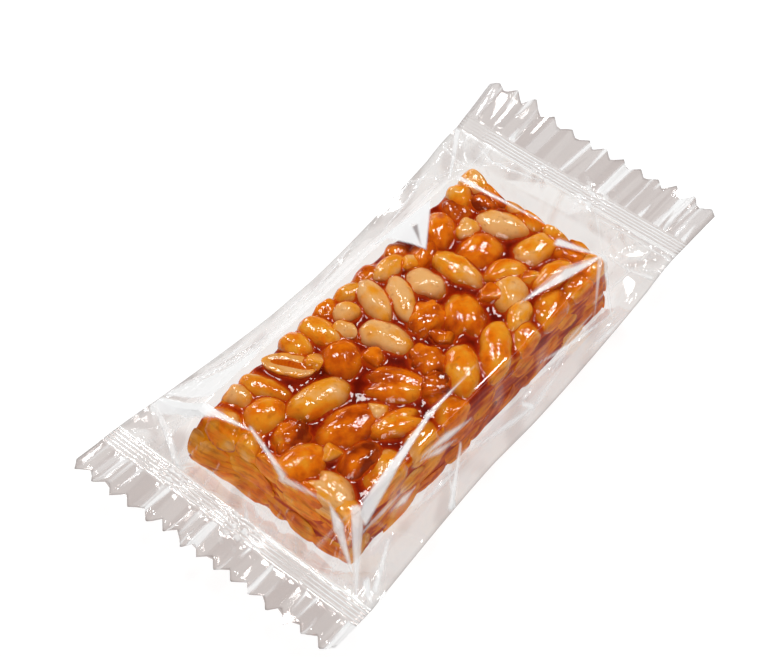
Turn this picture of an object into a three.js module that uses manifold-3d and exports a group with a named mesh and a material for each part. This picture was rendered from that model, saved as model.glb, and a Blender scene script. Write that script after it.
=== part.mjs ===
// Peanut brittle bar sealed in a clear flow-wrap film.
//
// Millimetres, +Z up. The origin is under the middle of the pack, on the face that it lies on.
// +X runs along the pack to the end whose seal stands higher, and +Y runs across it.
// The pack is one closed solid: the film tube drawn tight over the bar, the two end seals with
// their ridged bands and pleated zigzag fins, and the nuts that lift the film on top of the bar.

import * as THREE from 'three';
import { mergeVertices } from 'three/addons/utils/BufferGeometryUtils.js';
import Module from 'manifold-3d';

const wasm = await Module();
wasm.setup();

// ---------------------------------------------------------------- driving dimensions

// Bar of brittle
const BAR_WIDTH = 42;
const BAR_NEAR_X = -47.2;
const BAR_FAR_X = 42.3;
const BAR_DECK = 18.5;            // height of the film between the nuts
const BAR_END_LEAN = 1.2;         // how far the foot of an end face stands out past its top
const EDGE_ROUND = 0.8;            // the knife-cut edges, a little softened by the film
const CLOSED_ROUND = 0.2;          // what is left of that round where the tube lies flat

// Film tube
const FOLD_HALF_WIDTH = 31.4;     // side folds beside the middle of the bar
const FOLD_FLARE = 3.6;           // what the half width gains on the way to the near seal
const FLARE_FROM_X = -12;
const FLARE_LENGTH = 45;
const FOLD_HEIGHT = 8.9;          // side folds at their lowest
const FOLD_THICKNESS = 0.9;
const SIDE_SAG = 0.7;             // how far the slanting sides hang in

// End seals
const SEAL_THICKNESS = 1.0;
const BAND_LENGTH = 4.4;
const BAND_LEAD = 0.8;             // flat run of the band before its first ridge
const BAND_RIDGES = 5;
const RIDGE_HEIGHT = 0.35;
const PLEAT_HEIGHT = 0.75;
const TOOTH_DEPTH = 2.4;
const NEAR_SEAL = { outward: -1, lineX: -57, tipX: -70.25, height: 10.8, halfWidth: 35, teeth: 15 };
const FAR_SEAL = { outward: 1, lineX: 53, tipX: 70.25, height: 17.4, halfWidth: 32, teeth: 13 };

// Back seal: the lapped strip along the underside
const BACK_SEAL_WIDTH = 9;
const GROOVE_WIDTH = 1.2;
const GROOVE_DEPTH = 0.5;

// Nuts under the film: centre x, centre y, length, width, turn in degrees from +X
const NUT_SPREAD = [
  [-38.2, 10.3, 9.5, 8.6, 0], [-28.0, 4.4, 15.0, 8.6, -14], [-29.4, -5.2, 14.4, 9.8, -16],
  [-43.0, -3.9, 13.0, 8.6, -3], [-43.6, -13.7, 10.6, 8.6, 84], [-33.7, -12.2, 10.0, 6.5, 0],
  [-33.2, -18.4, 14.5, 8.0, 12], [-22.3, -12.5, 12.0, 6.2, -25], [-39.2, 2.3, 7.0, 5.5, 0],
  [-47.0, 0.5, 8.0, 6.5, 80], [-46.0, 7.8, 8.5, 5.5, 20], [-44.8, 15.6, 10.0, 8.0, 70],
  [-38.0, 18.0, 7.0, 6.0, 90], [-33.0, 15.0, 12.5, 6.0, 100], [-25.2, 14.8, 11.0, 5.2, -65],
  [-20.2, 17.8, 7.5, 5.5, 90], [-14.0, 16.3, 10.5, 6.3, 95], [-16.5, 7.6, 9.8, 7.8, 50],
  [-14.0, -6.2, 12.5, 10.5, -60], [-21.7, -19.0, 10.5, 7.5, 20], [-12.0, -18.8, 9.5, 7.5, 0],
  [-5.8, 3.6, 12.8, 8.0, 100], [0.3, 12.4, 13.0, 5.5, 65], [4.8, 8.5, 13.0, 5.0, 55],
  [9.0, 16.5, 8.0, 5.0, 0], [11.5, 6.8, 10.0, 7.6, 90], [4.0, 0.2, 9.8, 7.8, 0],
  [9.8, -4.9, 13.8, 10.8, 42], [19.2, 4.3, 13.5, 6.6, 88], [26.8, 4.1, 10.5, 9.0, 0],
  [29.8, 10.0, 6.0, 4.8, 10], [36.2, 4.3, 13.0, 7.4, 115], [25.5, -4.4, 10.5, 7.2, -35],
  [34.8, -5.6, 11.2, 8.2, -8], [20.2, -10.0, 11.6, 6.6, 22], [-2.3, -14.2, 13.5, 7.0, 42],
  [6.5, -16.4, 16.0, 7.2, 35], [13.5, -18.6, 9.0, 7.5, 30], [-5.0, -7.0, 8.5, 6.0, 80],
  [-6.2, 15.0, 5.6, 5.4, 0], [-1.5, 18.6, 8.0, 6.0, 0], [14.5, 17.3, 8.0, 6.0, 60],
  [25.5, 14.8, 11.0, 7.0, 45], [33.2, 15.6, 9.6, 8.4, 30], [39.0, 17.0, 6.6, 6.2, 60],
  [31.5, -13.4, 11.5, 6.0, -5], [38.5, -12.6, 8.0, 6.0, -60], [23.0, -18.4, 12.0, 7.0, 15],
];
const NUT_RISE = 0.7;             // how far a nut lifts the film above the deck
const NUT_THICKNESS = 7.2;
const NUT_FACETS = 10;

// ---------------------------------------------------------------- solids from geometry

function toSolid(geometry) {
  geometry.deleteAttribute('normal');
  geometry.deleteAttribute('uv');
  const merged = mergeVertices(geometry, 1e-4);
  return new wasm.Manifold(new wasm.Mesh({
    numProp: 3,
    vertProperties: Float32Array.from(merged.attributes.position.array),
    triVerts: Uint32Array.from(merged.index.array),
  }));
}

function toGeometry(solid) {
  const mesh = solid.getMesh();
  const geometry = new THREE.BufferGeometry();
  geometry.setAttribute('position', new THREE.BufferAttribute(mesh.vertProperties, 3));
  geometry.setIndex(new THREE.BufferAttribute(mesh.triVerts, 1));
  geometry.computeVertexNormals();
  return geometry;
}

// A solid through rings of equal point counts, each ring clockwise as seen from +X.
function loft(rings) {
  const count = rings[0].length;
  const points = rings.flat();
  const faces = [];
  for (let k = 0; k + 1 < rings.length; k += 1) {
    for (let i = 0; i < count; i += 1) {
      const a = k * count + i;
      const b = k * count + (i + 1) % count;
      faces.push(a, b + count, b, a, a + count, b + count);
    }
  }
  const lastRing = (rings.length - 1) * count;
  for (let i = 1; i + 1 < count; i += 1) {
    faces.push(0, i, i + 1);
    faces.push(lastRing, lastRing + i + 1, lastRing + i);
  }
  const geometry = new THREE.BufferGeometry();
  geometry.setAttribute('position', new THREE.Float32BufferAttribute(points.flat(), 3));
  geometry.setIndex(faces);
  return toSolid(geometry);
}

// ---------------------------------------------------------------- film tube

const mix = THREE.MathUtils.lerp;
const clamp01 = (value) => THREE.MathUtils.clamp(value, 0, 1);

function foldHalfWidth(x) {
  return FOLD_HALF_WIDTH + FOLD_FLARE * clamp01((FLARE_FROM_X - x) / FLARE_LENGTH) ** 1.3;
}

function foldHeight(x) {
  const nearLift = (NEAR_SEAL.height - FOLD_HEIGHT) * clamp01(x / NEAR_SEAL.lineX);
  const farLift = (FAR_SEAL.height - FOLD_HEIGHT) * clamp01(x / FAR_SEAL.lineX) ** 1.5;
  return FOLD_HEIGHT + nearLift + farLift;
}

// 0 over the bar, 1 at a seal's line: how far the tube has closed from the bar's edge.
function closing(x, overhang) {
  if (x < 0) return clamp01((BAR_NEAR_X - overhang - x) / (BAR_NEAR_X - overhang - NEAR_SEAL.lineX));
  return clamp01((x - BAR_FAR_X - overhang) / (FAR_SEAL.lineX - BAR_FAR_X - overhang));
}

// Share of its radius by which the middle of a round lies inside the sharp corner.
const ROUND_MIDDLE = 1 - Math.SQRT1_2;

function filmRing(x) {
  const foldY = foldHalfWidth(x);
  const foldZ = foldHeight(x);
  const half = FOLD_THICKNESS / 2;
  const topClosing = closing(x, 0);
  const footClosing = closing(x, BAR_END_LEAN);
  const topY = mix(BAR_WIDTH / 2, foldY - 1, topClosing);
  const topZ = mix(BAR_DECK, foldZ + half, topClosing);
  const topRound = mix(EDGE_ROUND, CLOSED_ROUND, topClosing);
  const footY = mix(BAR_WIDTH / 2, foldY - 1, footClosing);
  const footZ = mix(0, foldZ - half, footClosing);
  const footRound = mix(EDGE_ROUND, CLOSED_ROUND, footClosing);
  const topSag = SIDE_SAG * (1 - topClosing);
  const footSag = SIDE_SAG * (1 - footClosing);
  const side = [
    [topY * 0.5, topZ],
    [topY - topRound, topZ],
    [topY - topRound * ROUND_MIDDLE, topZ - topRound * ROUND_MIDDLE],
    [topY, topZ - topRound],
    [mix(topY, foldY, 0.5) - topSag, mix(topZ - topRound, foldZ + half, 0.5) - topSag],
    [foldY, foldZ + half],
    [foldY, foldZ - half],
    [mix(footY, foldY, 0.5) - footSag, mix(footZ + footRound, foldZ - half, 0.5) + footSag],
    [footY, footZ + footRound],
    [footY - footRound * ROUND_MIDDLE, footZ + footRound * ROUND_MIDDLE],
    [footY - footRound, footZ],
    [footY * 0.5, footZ],
  ];
  const right = side.map(([y, z]) => [x, y, z]);
  const left = side.map(([y, z]) => [x, -y, z]).reverse();
  return [[x, 0, topZ], ...right, [x, 0, footZ], ...left];
}

function filmTube() {
  const stations = [NEAR_SEAL.lineX, BAR_NEAR_X - BAR_END_LEAN, BAR_NEAR_X];
  const steps = 16;
  for (let k = 1; k < steps; k += 1) {
    stations.push(mix(BAR_NEAR_X, BAR_FAR_X, k / steps));
  }
  stations.push(BAR_FAR_X, BAR_FAR_X + BAR_END_LEAN, FAR_SEAL.lineX);
  return loft(stations.map(filmRing));
}

// ---------------------------------------------------------------- end seals

// The band: parallel ridges pressed across the whole width, on both faces.
function sealBand(seal) {
  const profile = new THREE.Shape();
  const pitch = BAND_LENGTH / BAND_RIDGES;
  const valley = SEAL_THICKNESS / 2;
  const crest = valley + RIDGE_HEIGHT;
  const upper = [[-BAND_LEAD, valley]];
  for (let k = 0; k < BAND_RIDGES; k += 1) {
    upper.push([k * pitch, valley], [(k + 0.5) * pitch, crest]);
  }
  upper.push([BAND_LENGTH, valley]);
  const lower = upper.map(([u, v]) => [u, -v]).reverse();
  profile.setFromPoints([...upper, ...lower].map(([u, v]) => new THREE.Vector2(u * seal.outward, v)));
  const geometry = new THREE.ExtrudeGeometry(profile, { depth: 2 * seal.halfWidth, bevelEnabled: false });
  geometry.rotateX(Math.PI / 2);
  geometry.translate(seal.lineX, seal.halfWidth, seal.height);
  return toSolid(geometry);
}

// Uneven pleats: two waves along the width, in lengths of a tooth, that drift against each other.
const PLEAT_WAVES = [
  { length: 2.6, share: 0.45, start: 0.7 },
  { length: 1.15, share: 0.55, start: 0 },
];

function pleat(y, toothPitch) {
  const heights = PLEAT_WAVES.map(
    (wave) => wave.share * Math.sin((2 * Math.PI * y) / (toothPitch * wave.length) + wave.start),
  );
  return heights.reduce((sum, height) => sum + height, 0);
}

// The fin: a thin pleated strip past the band, whose outer edge is cut in a zigzag. The pleats grow
// over its first part, and it starts inside the band.
const FIN_START = 0.7;
const FIN_SHARES = [0, 0.25, 0.6, 1];
const PLEAT_GROWTH = 1.6;

function sealFin(seal) {
  const toothPitch = (2 * seal.halfWidth) / seal.teeth;
  const columns = seal.teeth * 4;
  const start = seal.lineX + seal.outward * BAND_LENGTH * FIN_START;
  const rings = [];
  for (let j = 0; j <= columns; j += 1) {
    const y = mix(-seal.halfWidth, seal.halfWidth, j / columns);
    const alongTooth = 1 - Math.abs(((j / 4) % 1) * 2 - 1);
    const endX = seal.tipX - seal.outward * TOOTH_DEPTH * (1 - alongTooth);
    const upper = [];
    for (const share of FIN_SHARES) {
      const lift = PLEAT_HEIGHT * Math.min(1, share * PLEAT_GROWTH) * pleat(y, toothPitch);
      upper.push([mix(start, endX, share), y, seal.height + lift + SEAL_THICKNESS / 2]);
    }
    const lower = upper.map(([x, , z]) => [x, y, z - SEAL_THICKNESS]).reverse();
    rings.push([...upper, ...lower]);
  }
  return loft(seal.outward > 0 ? rings.map((ring) => [...ring].reverse()) : rings);
}

// ---------------------------------------------------------------- nuts and back seal

function nut([x, y, length, width, turn]) {
  const geometry = new THREE.SphereGeometry(0.5, NUT_FACETS, NUT_FACETS * 0.75);
  geometry.rotateX(Math.PI / 2);
  geometry.scale(length, width, NUT_THICKNESS);
  geometry.rotateZ(THREE.MathUtils.degToRad(turn));
  geometry.translate(x, y, BAR_DECK + NUT_RISE - NUT_THICKNESS / 2);
  return toSolid(geometry);
}

function backSealGroove(y) {
  const length = BAR_FAR_X - BAR_NEAR_X;
  const geometry = new THREE.BoxGeometry(length, GROOVE_WIDTH, 2 * GROOVE_DEPTH);
  geometry.translate((BAR_FAR_X + BAR_NEAR_X) / 2, y, 0);
  return toSolid(geometry);
}

// ---------------------------------------------------------------- the pack

let pack = filmTube();
for (const seal of [NEAR_SEAL, FAR_SEAL]) {
  pack = pack.add(sealBand(seal)).add(sealFin(seal));
}
for (const place of NUT_SPREAD) {
  pack = pack.add(nut(place));
}
for (const side of [-1, 1]) {
  pack = pack.subtract(backSealGroove((side * BACK_SEAL_WIDTH) / 2));
}

const brittleUnderFilm = new THREE.MeshStandardMaterial({ color: 0xc8782e, roughness: 0.25, metalness: 0 });
const packMesh = new THREE.Mesh(toGeometry(pack), brittleUnderFilm);
packMesh.name = 'wrapped_brittle_bar';

const group = new THREE.Group();
group.add(packMesh);

export default group;
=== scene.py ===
"""Peanut brittle bar sealed in a clear flow-wrap film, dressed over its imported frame.

The frame's one solid stands for the whole pack. This file replaces it with what the pack is made of:
the glossy caramel, the peanut kernels set in it, and the film with its seals, pleats and creases.
Sizes are in millimetres and turned to metres where a mesh is made.
"""
import logging
import math
from dataclasses import dataclass, field
from enum import Enum

import bpy
import numpy as np
from mathutils import Matrix, Vector
from mathutils.kdtree import KDTree


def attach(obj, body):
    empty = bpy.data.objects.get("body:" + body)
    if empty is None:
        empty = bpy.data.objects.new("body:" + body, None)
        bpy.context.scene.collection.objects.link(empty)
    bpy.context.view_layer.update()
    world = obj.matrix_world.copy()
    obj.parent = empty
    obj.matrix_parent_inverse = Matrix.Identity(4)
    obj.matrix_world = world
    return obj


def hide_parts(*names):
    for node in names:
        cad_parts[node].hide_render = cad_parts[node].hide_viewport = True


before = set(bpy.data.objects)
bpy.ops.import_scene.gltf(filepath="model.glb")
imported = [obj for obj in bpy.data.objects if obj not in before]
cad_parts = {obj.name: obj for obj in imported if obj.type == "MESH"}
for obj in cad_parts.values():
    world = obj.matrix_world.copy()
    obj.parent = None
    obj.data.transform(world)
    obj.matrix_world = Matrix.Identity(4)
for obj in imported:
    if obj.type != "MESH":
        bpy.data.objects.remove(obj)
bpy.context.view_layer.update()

NODE = "wrapped_brittle_bar"
BODY = "root"
MM = 0.001
SEED = 11
SOFT_EDGE = 0.45  # millimetres over which a mark on the film fades out
FLATNESS = 0.88  # a whole kernel's height as a share of its width

LOG = logging.getLogger("brittle")

Array = np.ndarray


# ---------------------------------------------------------------- helpers


def linear(hex_colour: str) -> tuple[float, float, float, float]:
    """Turns an sRGB hex colour to linear light.

    Args:
        hex_colour: A # and six hex digits.

    Returns:
        Red, green, blue and an alpha of 1.
    """
    shares = [int(hex_colour[k : k + 2], 16) / 255 for k in (1, 3, 5)]
    light = [c / 12.92 if c <= 0.04045 else ((c + 0.055) / 1.055) ** 2.4 for c in shares]
    return (*light, 1.0)


def smoothstep(low: float, high: float, value: Array) -> Array:
    """A soft step from 0 at low to 1 at high."""
    share = np.clip((value - low) / (high - low), 0.0, 1.0)
    return share * share * (3.0 - 2.0 * share)


def waves(points: Array, rng: np.random.Generator, length: float, count: int = 7) -> Array:
    """Smooth random relief: a sum of plane waves in random directions.

    Args:
        points: N by 3 places in millimetres.
        rng: Seeded source of the directions.
        length: Mean wave length in millimetres.
        count: How many waves are summed.

    Returns:
        N values of about -1 to 1.
    """
    total = np.zeros(len(points))
    for _ in range(count):
        way = rng.normal(size=3)
        way /= np.linalg.norm(way)
        turns = 2 * math.pi / (length * rng.uniform(0.7, 1.4))
        total += np.sin(points @ way * turns + rng.uniform(0, 2 * math.pi))
    return total / math.sqrt(count)


def link(name: str, data: bpy.types.ID) -> bpy.types.Object:
    """Puts a mesh, a lamp or a camera into the scene as a new object."""
    made = bpy.data.objects.new(name, data)
    bpy.context.scene.collection.objects.link(made)
    return made


def make_mesh(name: str, points: Array, faces: list, material: bpy.types.Material) -> bpy.types.Object:
    """Makes a smooth-shaded object from points in millimetres.

    Args:
        name: The object's name.
        points: N by 3 places in millimetres.
        faces: Rows of vertex numbers.
        material: The finish.

    Returns:
        The linked object.
    """
    mesh = bpy.data.meshes.new(name)
    mesh.from_pydata((points * MM).tolist(), [], faces)
    mesh.materials.append(material)
    mesh.shade_smooth()
    mesh.update()
    return link(name, mesh)


def paint(piece: bpy.types.Object, name: str, values: Array) -> None:
    """Stores one number a vertex on the piece's mesh, for its finish to read."""
    layer = piece.data.attributes.new(name, "FLOAT", "POINT")
    layer.data.foreach_set("value", np.asarray(values, dtype=np.float32))


def place(piece: bpy.types.Object, node: str) -> None:
    """Rides a piece on the body, hides the solid that it replaces, and logs its face count.

    Args:
        piece: The finished piece.
        node: The solid that it replaces.
    """
    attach(piece, BODY)
    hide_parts(node)
    LOG.info("%s: %d faces", piece.name, len(piece.data.polygons))


# ---------------------------------------------------------------- finishes


class Nodes:
    """The nodes of a material or a world, under construction."""

    def __init__(self, owner: bpy.types.ID) -> None:
        """Starts with no nodes."""
        owner.use_nodes = True
        self.owner = owner
        self.tree = owner.node_tree
        self.tree.nodes.clear()

    def add(self, kind: str, settings: dict | None = None, **inputs: object) -> bpy.types.Node:
        """Adds a node with its settings and links.

        Args:
            kind: The node's type name without "ShaderNode".
            settings: Properties to set on the node. "stops" holds a ramp's places and hex colours.
            **inputs: Input names, with _ for a space, or i0, i1 for a place in the list. A value is a
                socket to link from, or a constant.

        Returns:
            The node.
        """
        node = self.tree.nodes.new("ShaderNode" + kind)
        for key, value in (settings or {}).items():
            if key != "stops":
                setattr(node, key, value)
                continue
            elements = node.color_ramp.elements
            while len(elements) < len(value):
                elements.new(0.5)
            for element, (position, colour) in zip(elements, value):
                element.position = position
                element.color = linear(colour)
        for key, value in inputs.items():
            where = int(key[1:]) if key[0] == "i" and key[1:].isdigit() else key.replace("_", " ")
            socket = node.inputs[where]
            if isinstance(value, bpy.types.NodeSocket):
                self.tree.links.new(value, socket)
            else:
                socket.default_value = value
        return node


class Finish(Nodes):
    """A material under construction."""

    def __init__(self, name: str) -> None:
        """Starts an empty material of that name."""
        super().__init__(bpy.data.materials.new(name))

    def done(self, surface: bpy.types.NodeSocket) -> bpy.types.Material:
        """Links the surface to the output and returns the material."""
        self.add("OutputMaterial", Surface=surface)
        return self.owner


@dataclass(frozen=True)
class RoastedKernel:
    """Blanched peanut, roasted and glazed with boiled sugar.

    The roast runs from ivory to amber, kernel by kernel. The glaze is a hard clear coat, so the eye sees a
    matt nut under a wet gloss. Each nut turns a deeper orange lower down and deeper in the bar: partly the
    glaze running thick towards the caramel, partly painted shade. Where the knife has cut the bar, the coat
    is thin and the blade has dragged sugar across the nut. A nut's own pores are too fine to show, so they
    are drawn at 0.7 mm.
    """

    roast: tuple[tuple[float, str], ...] = (
        (0.0, "#FFC27A"),
        (0.3, "#FFA626"),
        (0.55, "#FA8004"),
        (0.78, "#D05400"),
        (1.0, "#882800"),
    )
    mottle_mm: float = 2.8
    mottle_shift: tuple[float, float] = (-0.16, 0.17)
    glaze_pool_and_shade: str = "#A23600"
    most_pooled_and_shaded: float = 0.85
    drag_mm: tuple[float, float, float] = (6.0, 6.0, 1.0)
    most_smeared: float = 0.55
    speck: str = "#B85408"
    speck_mm: float = 1.5
    most_specked: float = 0.35
    pore_mm: float = 0.7
    pore_depth_mm: float = 0.12
    roughness: float = 0.55
    specular: float = 0.02
    drip_mm: float = 1.1
    drip_depth_mm: float = 0.22
    coat_ior: float = 1.55
    coat_roughness: float = 0.03
    coat_on_cut: float = 0.2

    def make(self) -> bpy.types.Material:
        """Builds the material.

        Returns:
            The material, which reads the attributes tone, bath and cut.
        """
        f = Finish("Roasted peanut under sugar glaze")
        blend, soft = {"data_type": "RGBA"}, {"interpolation_type": "SMOOTHSTEP"}
        where = f.add("TexCoord").outputs["Object"]
        tone = f.add("Attribute", {"attribute_name": "tone"}).outputs["Fac"]
        bath = f.add("Attribute", {"attribute_name": "bath"}).outputs["Fac"]
        cut = f.add("Attribute", {"attribute_name": "cut"}).outputs["Fac"]

        mottle = f.add("TexNoise", Vector=where, Scale=1 / (self.mottle_mm * MM), Detail=3.0).outputs["Fac"]
        light, dark = self.mottle_shift
        shift = f.add("MapRange", Value=mottle, i1=0.3, i2=0.7, i3=light, i4=dark)
        roast = f.add("Math", {"operation": "ADD", "use_clamp": True}, i0=tone, i1=shift.outputs["Result"])
        colour = f.add("ValToRGB", {"stops": self.roast}, Fac=roast.outputs[0]).outputs["Color"]

        # Deeper orange lower down on each nut: partly pooled glaze, partly painted shade.
        sugar = linear(self.glaze_pool_and_shade)
        pooled_and_shaded = f.add("MapRange", soft, Value=bath, i1=0.2, i2=0.9, i3=0.0, i4=self.most_pooled_and_shaded)
        colour = f.add("Mix", blend, i0=pooled_and_shaded.outputs["Result"], i6=colour, i7=sugar).outputs[2]
        squeezed = tuple(1 / (size * MM) for size in self.drag_mm)
        along = f.add("VectorMath", {"operation": "MULTIPLY"}, i0=where, i1=squeezed).outputs[0]
        drag = f.add("TexNoise", Vector=along, Scale=1.0, Detail=3.0).outputs["Fac"]
        smear = f.add("MapRange", soft, Value=drag, i1=0.45, i2=0.75, i3=0.0, i4=self.most_smeared)
        smeared = f.add("Math", {"operation": "MULTIPLY"}, i0=smear.outputs["Result"], i1=cut).outputs[0]
        colour = f.add("Mix", blend, i0=smeared, i6=colour, i7=sugar).outputs[2]

        fleck = f.add("TexNoise", Vector=where, Scale=1 / (self.speck_mm * MM), Detail=1.0).outputs["Fac"]
        dot = f.add("MapRange", soft, Value=fleck, i1=0.6, i2=0.75, i3=0.0, i4=self.most_specked)
        colour = f.add("Mix", blend, i0=dot.outputs["Result"], i6=colour, i7=linear(self.speck)).outputs[2]

        pores = f.add("TexNoise", Vector=where, Scale=1 / (self.pore_mm * MM), Detail=2.0).outputs["Fac"]
        bump = f.add("Bump", Height=pores, Strength=0.25, Distance=self.pore_depth_mm * MM).outputs["Normal"]
        drops = f.add("TexNoise", Vector=where, Scale=1 / (self.drip_mm * MM), Detail=2.0).outputs["Fac"]
        drip = f.add("Bump", Height=drops, Strength=0.7, Distance=self.drip_depth_mm * MM).outputs["Normal"]
        coat = f.add("MapRange", Value=cut, i3=1.0, i4=self.coat_on_cut).outputs["Result"]
        shader = f.add(
            "BsdfPrincipled", Base_Color=colour, Roughness=self.roughness, Normal=bump,
            Specular_IOR_Level=self.specular, Coat_Weight=coat, Coat_Roughness=self.coat_roughness,
            Coat_IOR=self.coat_ior, Coat_Normal=drip,
        )
        return f.done(shader.outputs[0])


@dataclass(frozen=True)
class BoiledSugar:
    """Hard caramel, cast: dark red-brown where it lies thick between the kernels and, as painted shade,
    deeper in the gaps; amber to yellow where thin and, as a painted glow, at the near left corner; glossy
    where not cut.
    """

    depths: tuple[tuple[float, str], ...] = (
        (0.0, "#F08C00"),
        (0.25, "#C84800"),
        (0.5, "#9C2200"),
        (1.0, "#620A00"),
    )
    ripple_mm: float = 1.7
    ripple_depth_mm: float = 0.3
    roughness: float = 0.4
    specular: float = 0.02
    coat: float = 0.7
    coat_on_cut: float = 0.15
    coat_ior: float = 1.5
    coat_roughness: float = 0.03

    def make(self) -> bpy.types.Material:
        """Builds the material.

        Returns:
            The material, which reads the attributes depth and cut.
        """
        f = Finish("Boiled sugar caramel")
        where = f.add("TexCoord").outputs["Object"]
        depth = f.add("Attribute", {"attribute_name": "depth"}).outputs["Fac"]
        cut = f.add("Attribute", {"attribute_name": "cut"}).outputs["Fac"]
        colour = f.add("ValToRGB", {"stops": self.depths}, Fac=depth).outputs["Color"]
        ripple = f.add("TexNoise", Vector=where, Scale=1 / (self.ripple_mm * MM), Detail=1.0).outputs["Fac"]
        depth_m = self.ripple_depth_mm * MM
        bump = f.add("Bump", Height=ripple, Strength=0.5, Distance=depth_m).outputs["Normal"]
        coat = f.add("MapRange", Value=cut, i3=self.coat, i4=self.coat_on_cut).outputs["Result"]
        shader = f.add(
            "BsdfPrincipled", Base_Color=colour, Roughness=self.roughness, Normal=bump,
            Specular_IOR_Level=self.specular, Coat_Weight=coat, Coat_Roughness=self.coat_roughness,
            Coat_IOR=self.coat_ior, Coat_Normal=bump,
        )
        return f.done(shader.outputs[0])


@dataclass(frozen=True)
class ClearFilm:
    """Biaxially stretched polypropylene, 30 microns.

    It is clear and very glossy, so the eye sees it where it mirrors a lamp. Its white is painted: partly
    stress whitening on the creases, partly a painted highlight that stands in for lamps mirrored in the
    folds. Its grey is painted shade, standing in for the darker surroundings that folds and seals mirror, and
    its folds and cut edges carry a darker painted line of shade.
    """

    tint: str = "#FDFDFC"
    painted_grey_colour: str = "#DFD9D7"
    edge_shade_colour: str = "#A6A09E"
    head_on: float = 0.04
    glancing: float = 0.7
    steepness: float = 4.0
    roughness: float = 0.06
    haze: float = 0.001

    def make(self) -> bpy.types.Material:
        """Builds the material.

        Returns:
            The material, which reads the attributes stress, crimp and edge.
        """
        f = Finish("Clear polypropylene film")
        blend, white = {"data_type": "RGBA"}, (1, 1, 1, 1)
        crimp = f.add("Attribute", {"attribute_name": "crimp"}).outputs["Fac"]
        edge = f.add("Attribute", {"attribute_name": "edge"}).outputs["Fac"]
        stress = f.add("Attribute", {"attribute_name": "stress"}).outputs["Fac"]
        # Painted grey shade over the clear film, and a darker painted line of shade along its folds and cut
        # edges.
        through = f.add("Mix", blend, i0=crimp, i6=linear(self.tint), i7=linear(self.painted_grey_colour)).outputs[2]
        through = f.add("Mix", blend, i0=edge, i6=through, i7=linear(self.edge_shade_colour)).outputs[2]
        facing = f.add("LayerWeight", Blend=0.5).outputs["Facing"]
        steep = f.add("Math", {"operation": "POWER"}, i0=facing, i1=self.steepness).outputs[0]
        mirror = f.add("MapRange", Value=steep, i3=self.head_on, i4=self.glancing).outputs["Result"]
        clear = f.add("BsdfTransparent", Color=through).outputs[0]
        gloss = f.add("BsdfGlossy", Color=white, Roughness=self.roughness).outputs[0]
        sheet = f.add("MixShader", i0=mirror, i1=clear, i2=gloss).outputs[0]
        # A white diffuse mixed in by stress: partly stress whitening, partly a painted highlight.
        haze = f.add("MapRange", Value=stress, i3=self.haze, i4=1.0).outputs["Result"]
        milk_and_highlight = f.add("BsdfDiffuse", Color=white).outputs[0]
        return f.done(f.add("MixShader", i0=haze, i1=sheet, i2=milk_and_highlight).outputs[0])


# ---------------------------------------------------------------- the pack's shape


@dataclass(frozen=True)
class Seal:
    """One end seal: a ridged band, then a pleated fin with a zigzag edge.

    Outward is its side along X. The flare is how far the fin's left corner stands out along each axis.
    """

    outward: int
    line_x: float
    tip_x: float
    height: float
    half_width: float
    teeth: int
    flare: tuple[float, float, float]
    band: float = 4.4
    ridges: int = 5
    tooth_depth: float = 2.4

    def edge_x(self, y: Array) -> Array:
        """Where the cut edge lies along X, at each place across the pack."""
        turn = (y + self.half_width) / (2 * self.half_width) * self.teeth
        notch = np.abs((turn % 1.0) * 2.0 - 1.0)
        return self.tip_x - self.outward * self.tooth_depth * notch

    @property
    def band_end(self) -> float:
        """Where the band ends and the fin begins."""
        return self.line_x + self.outward * self.band


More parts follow.
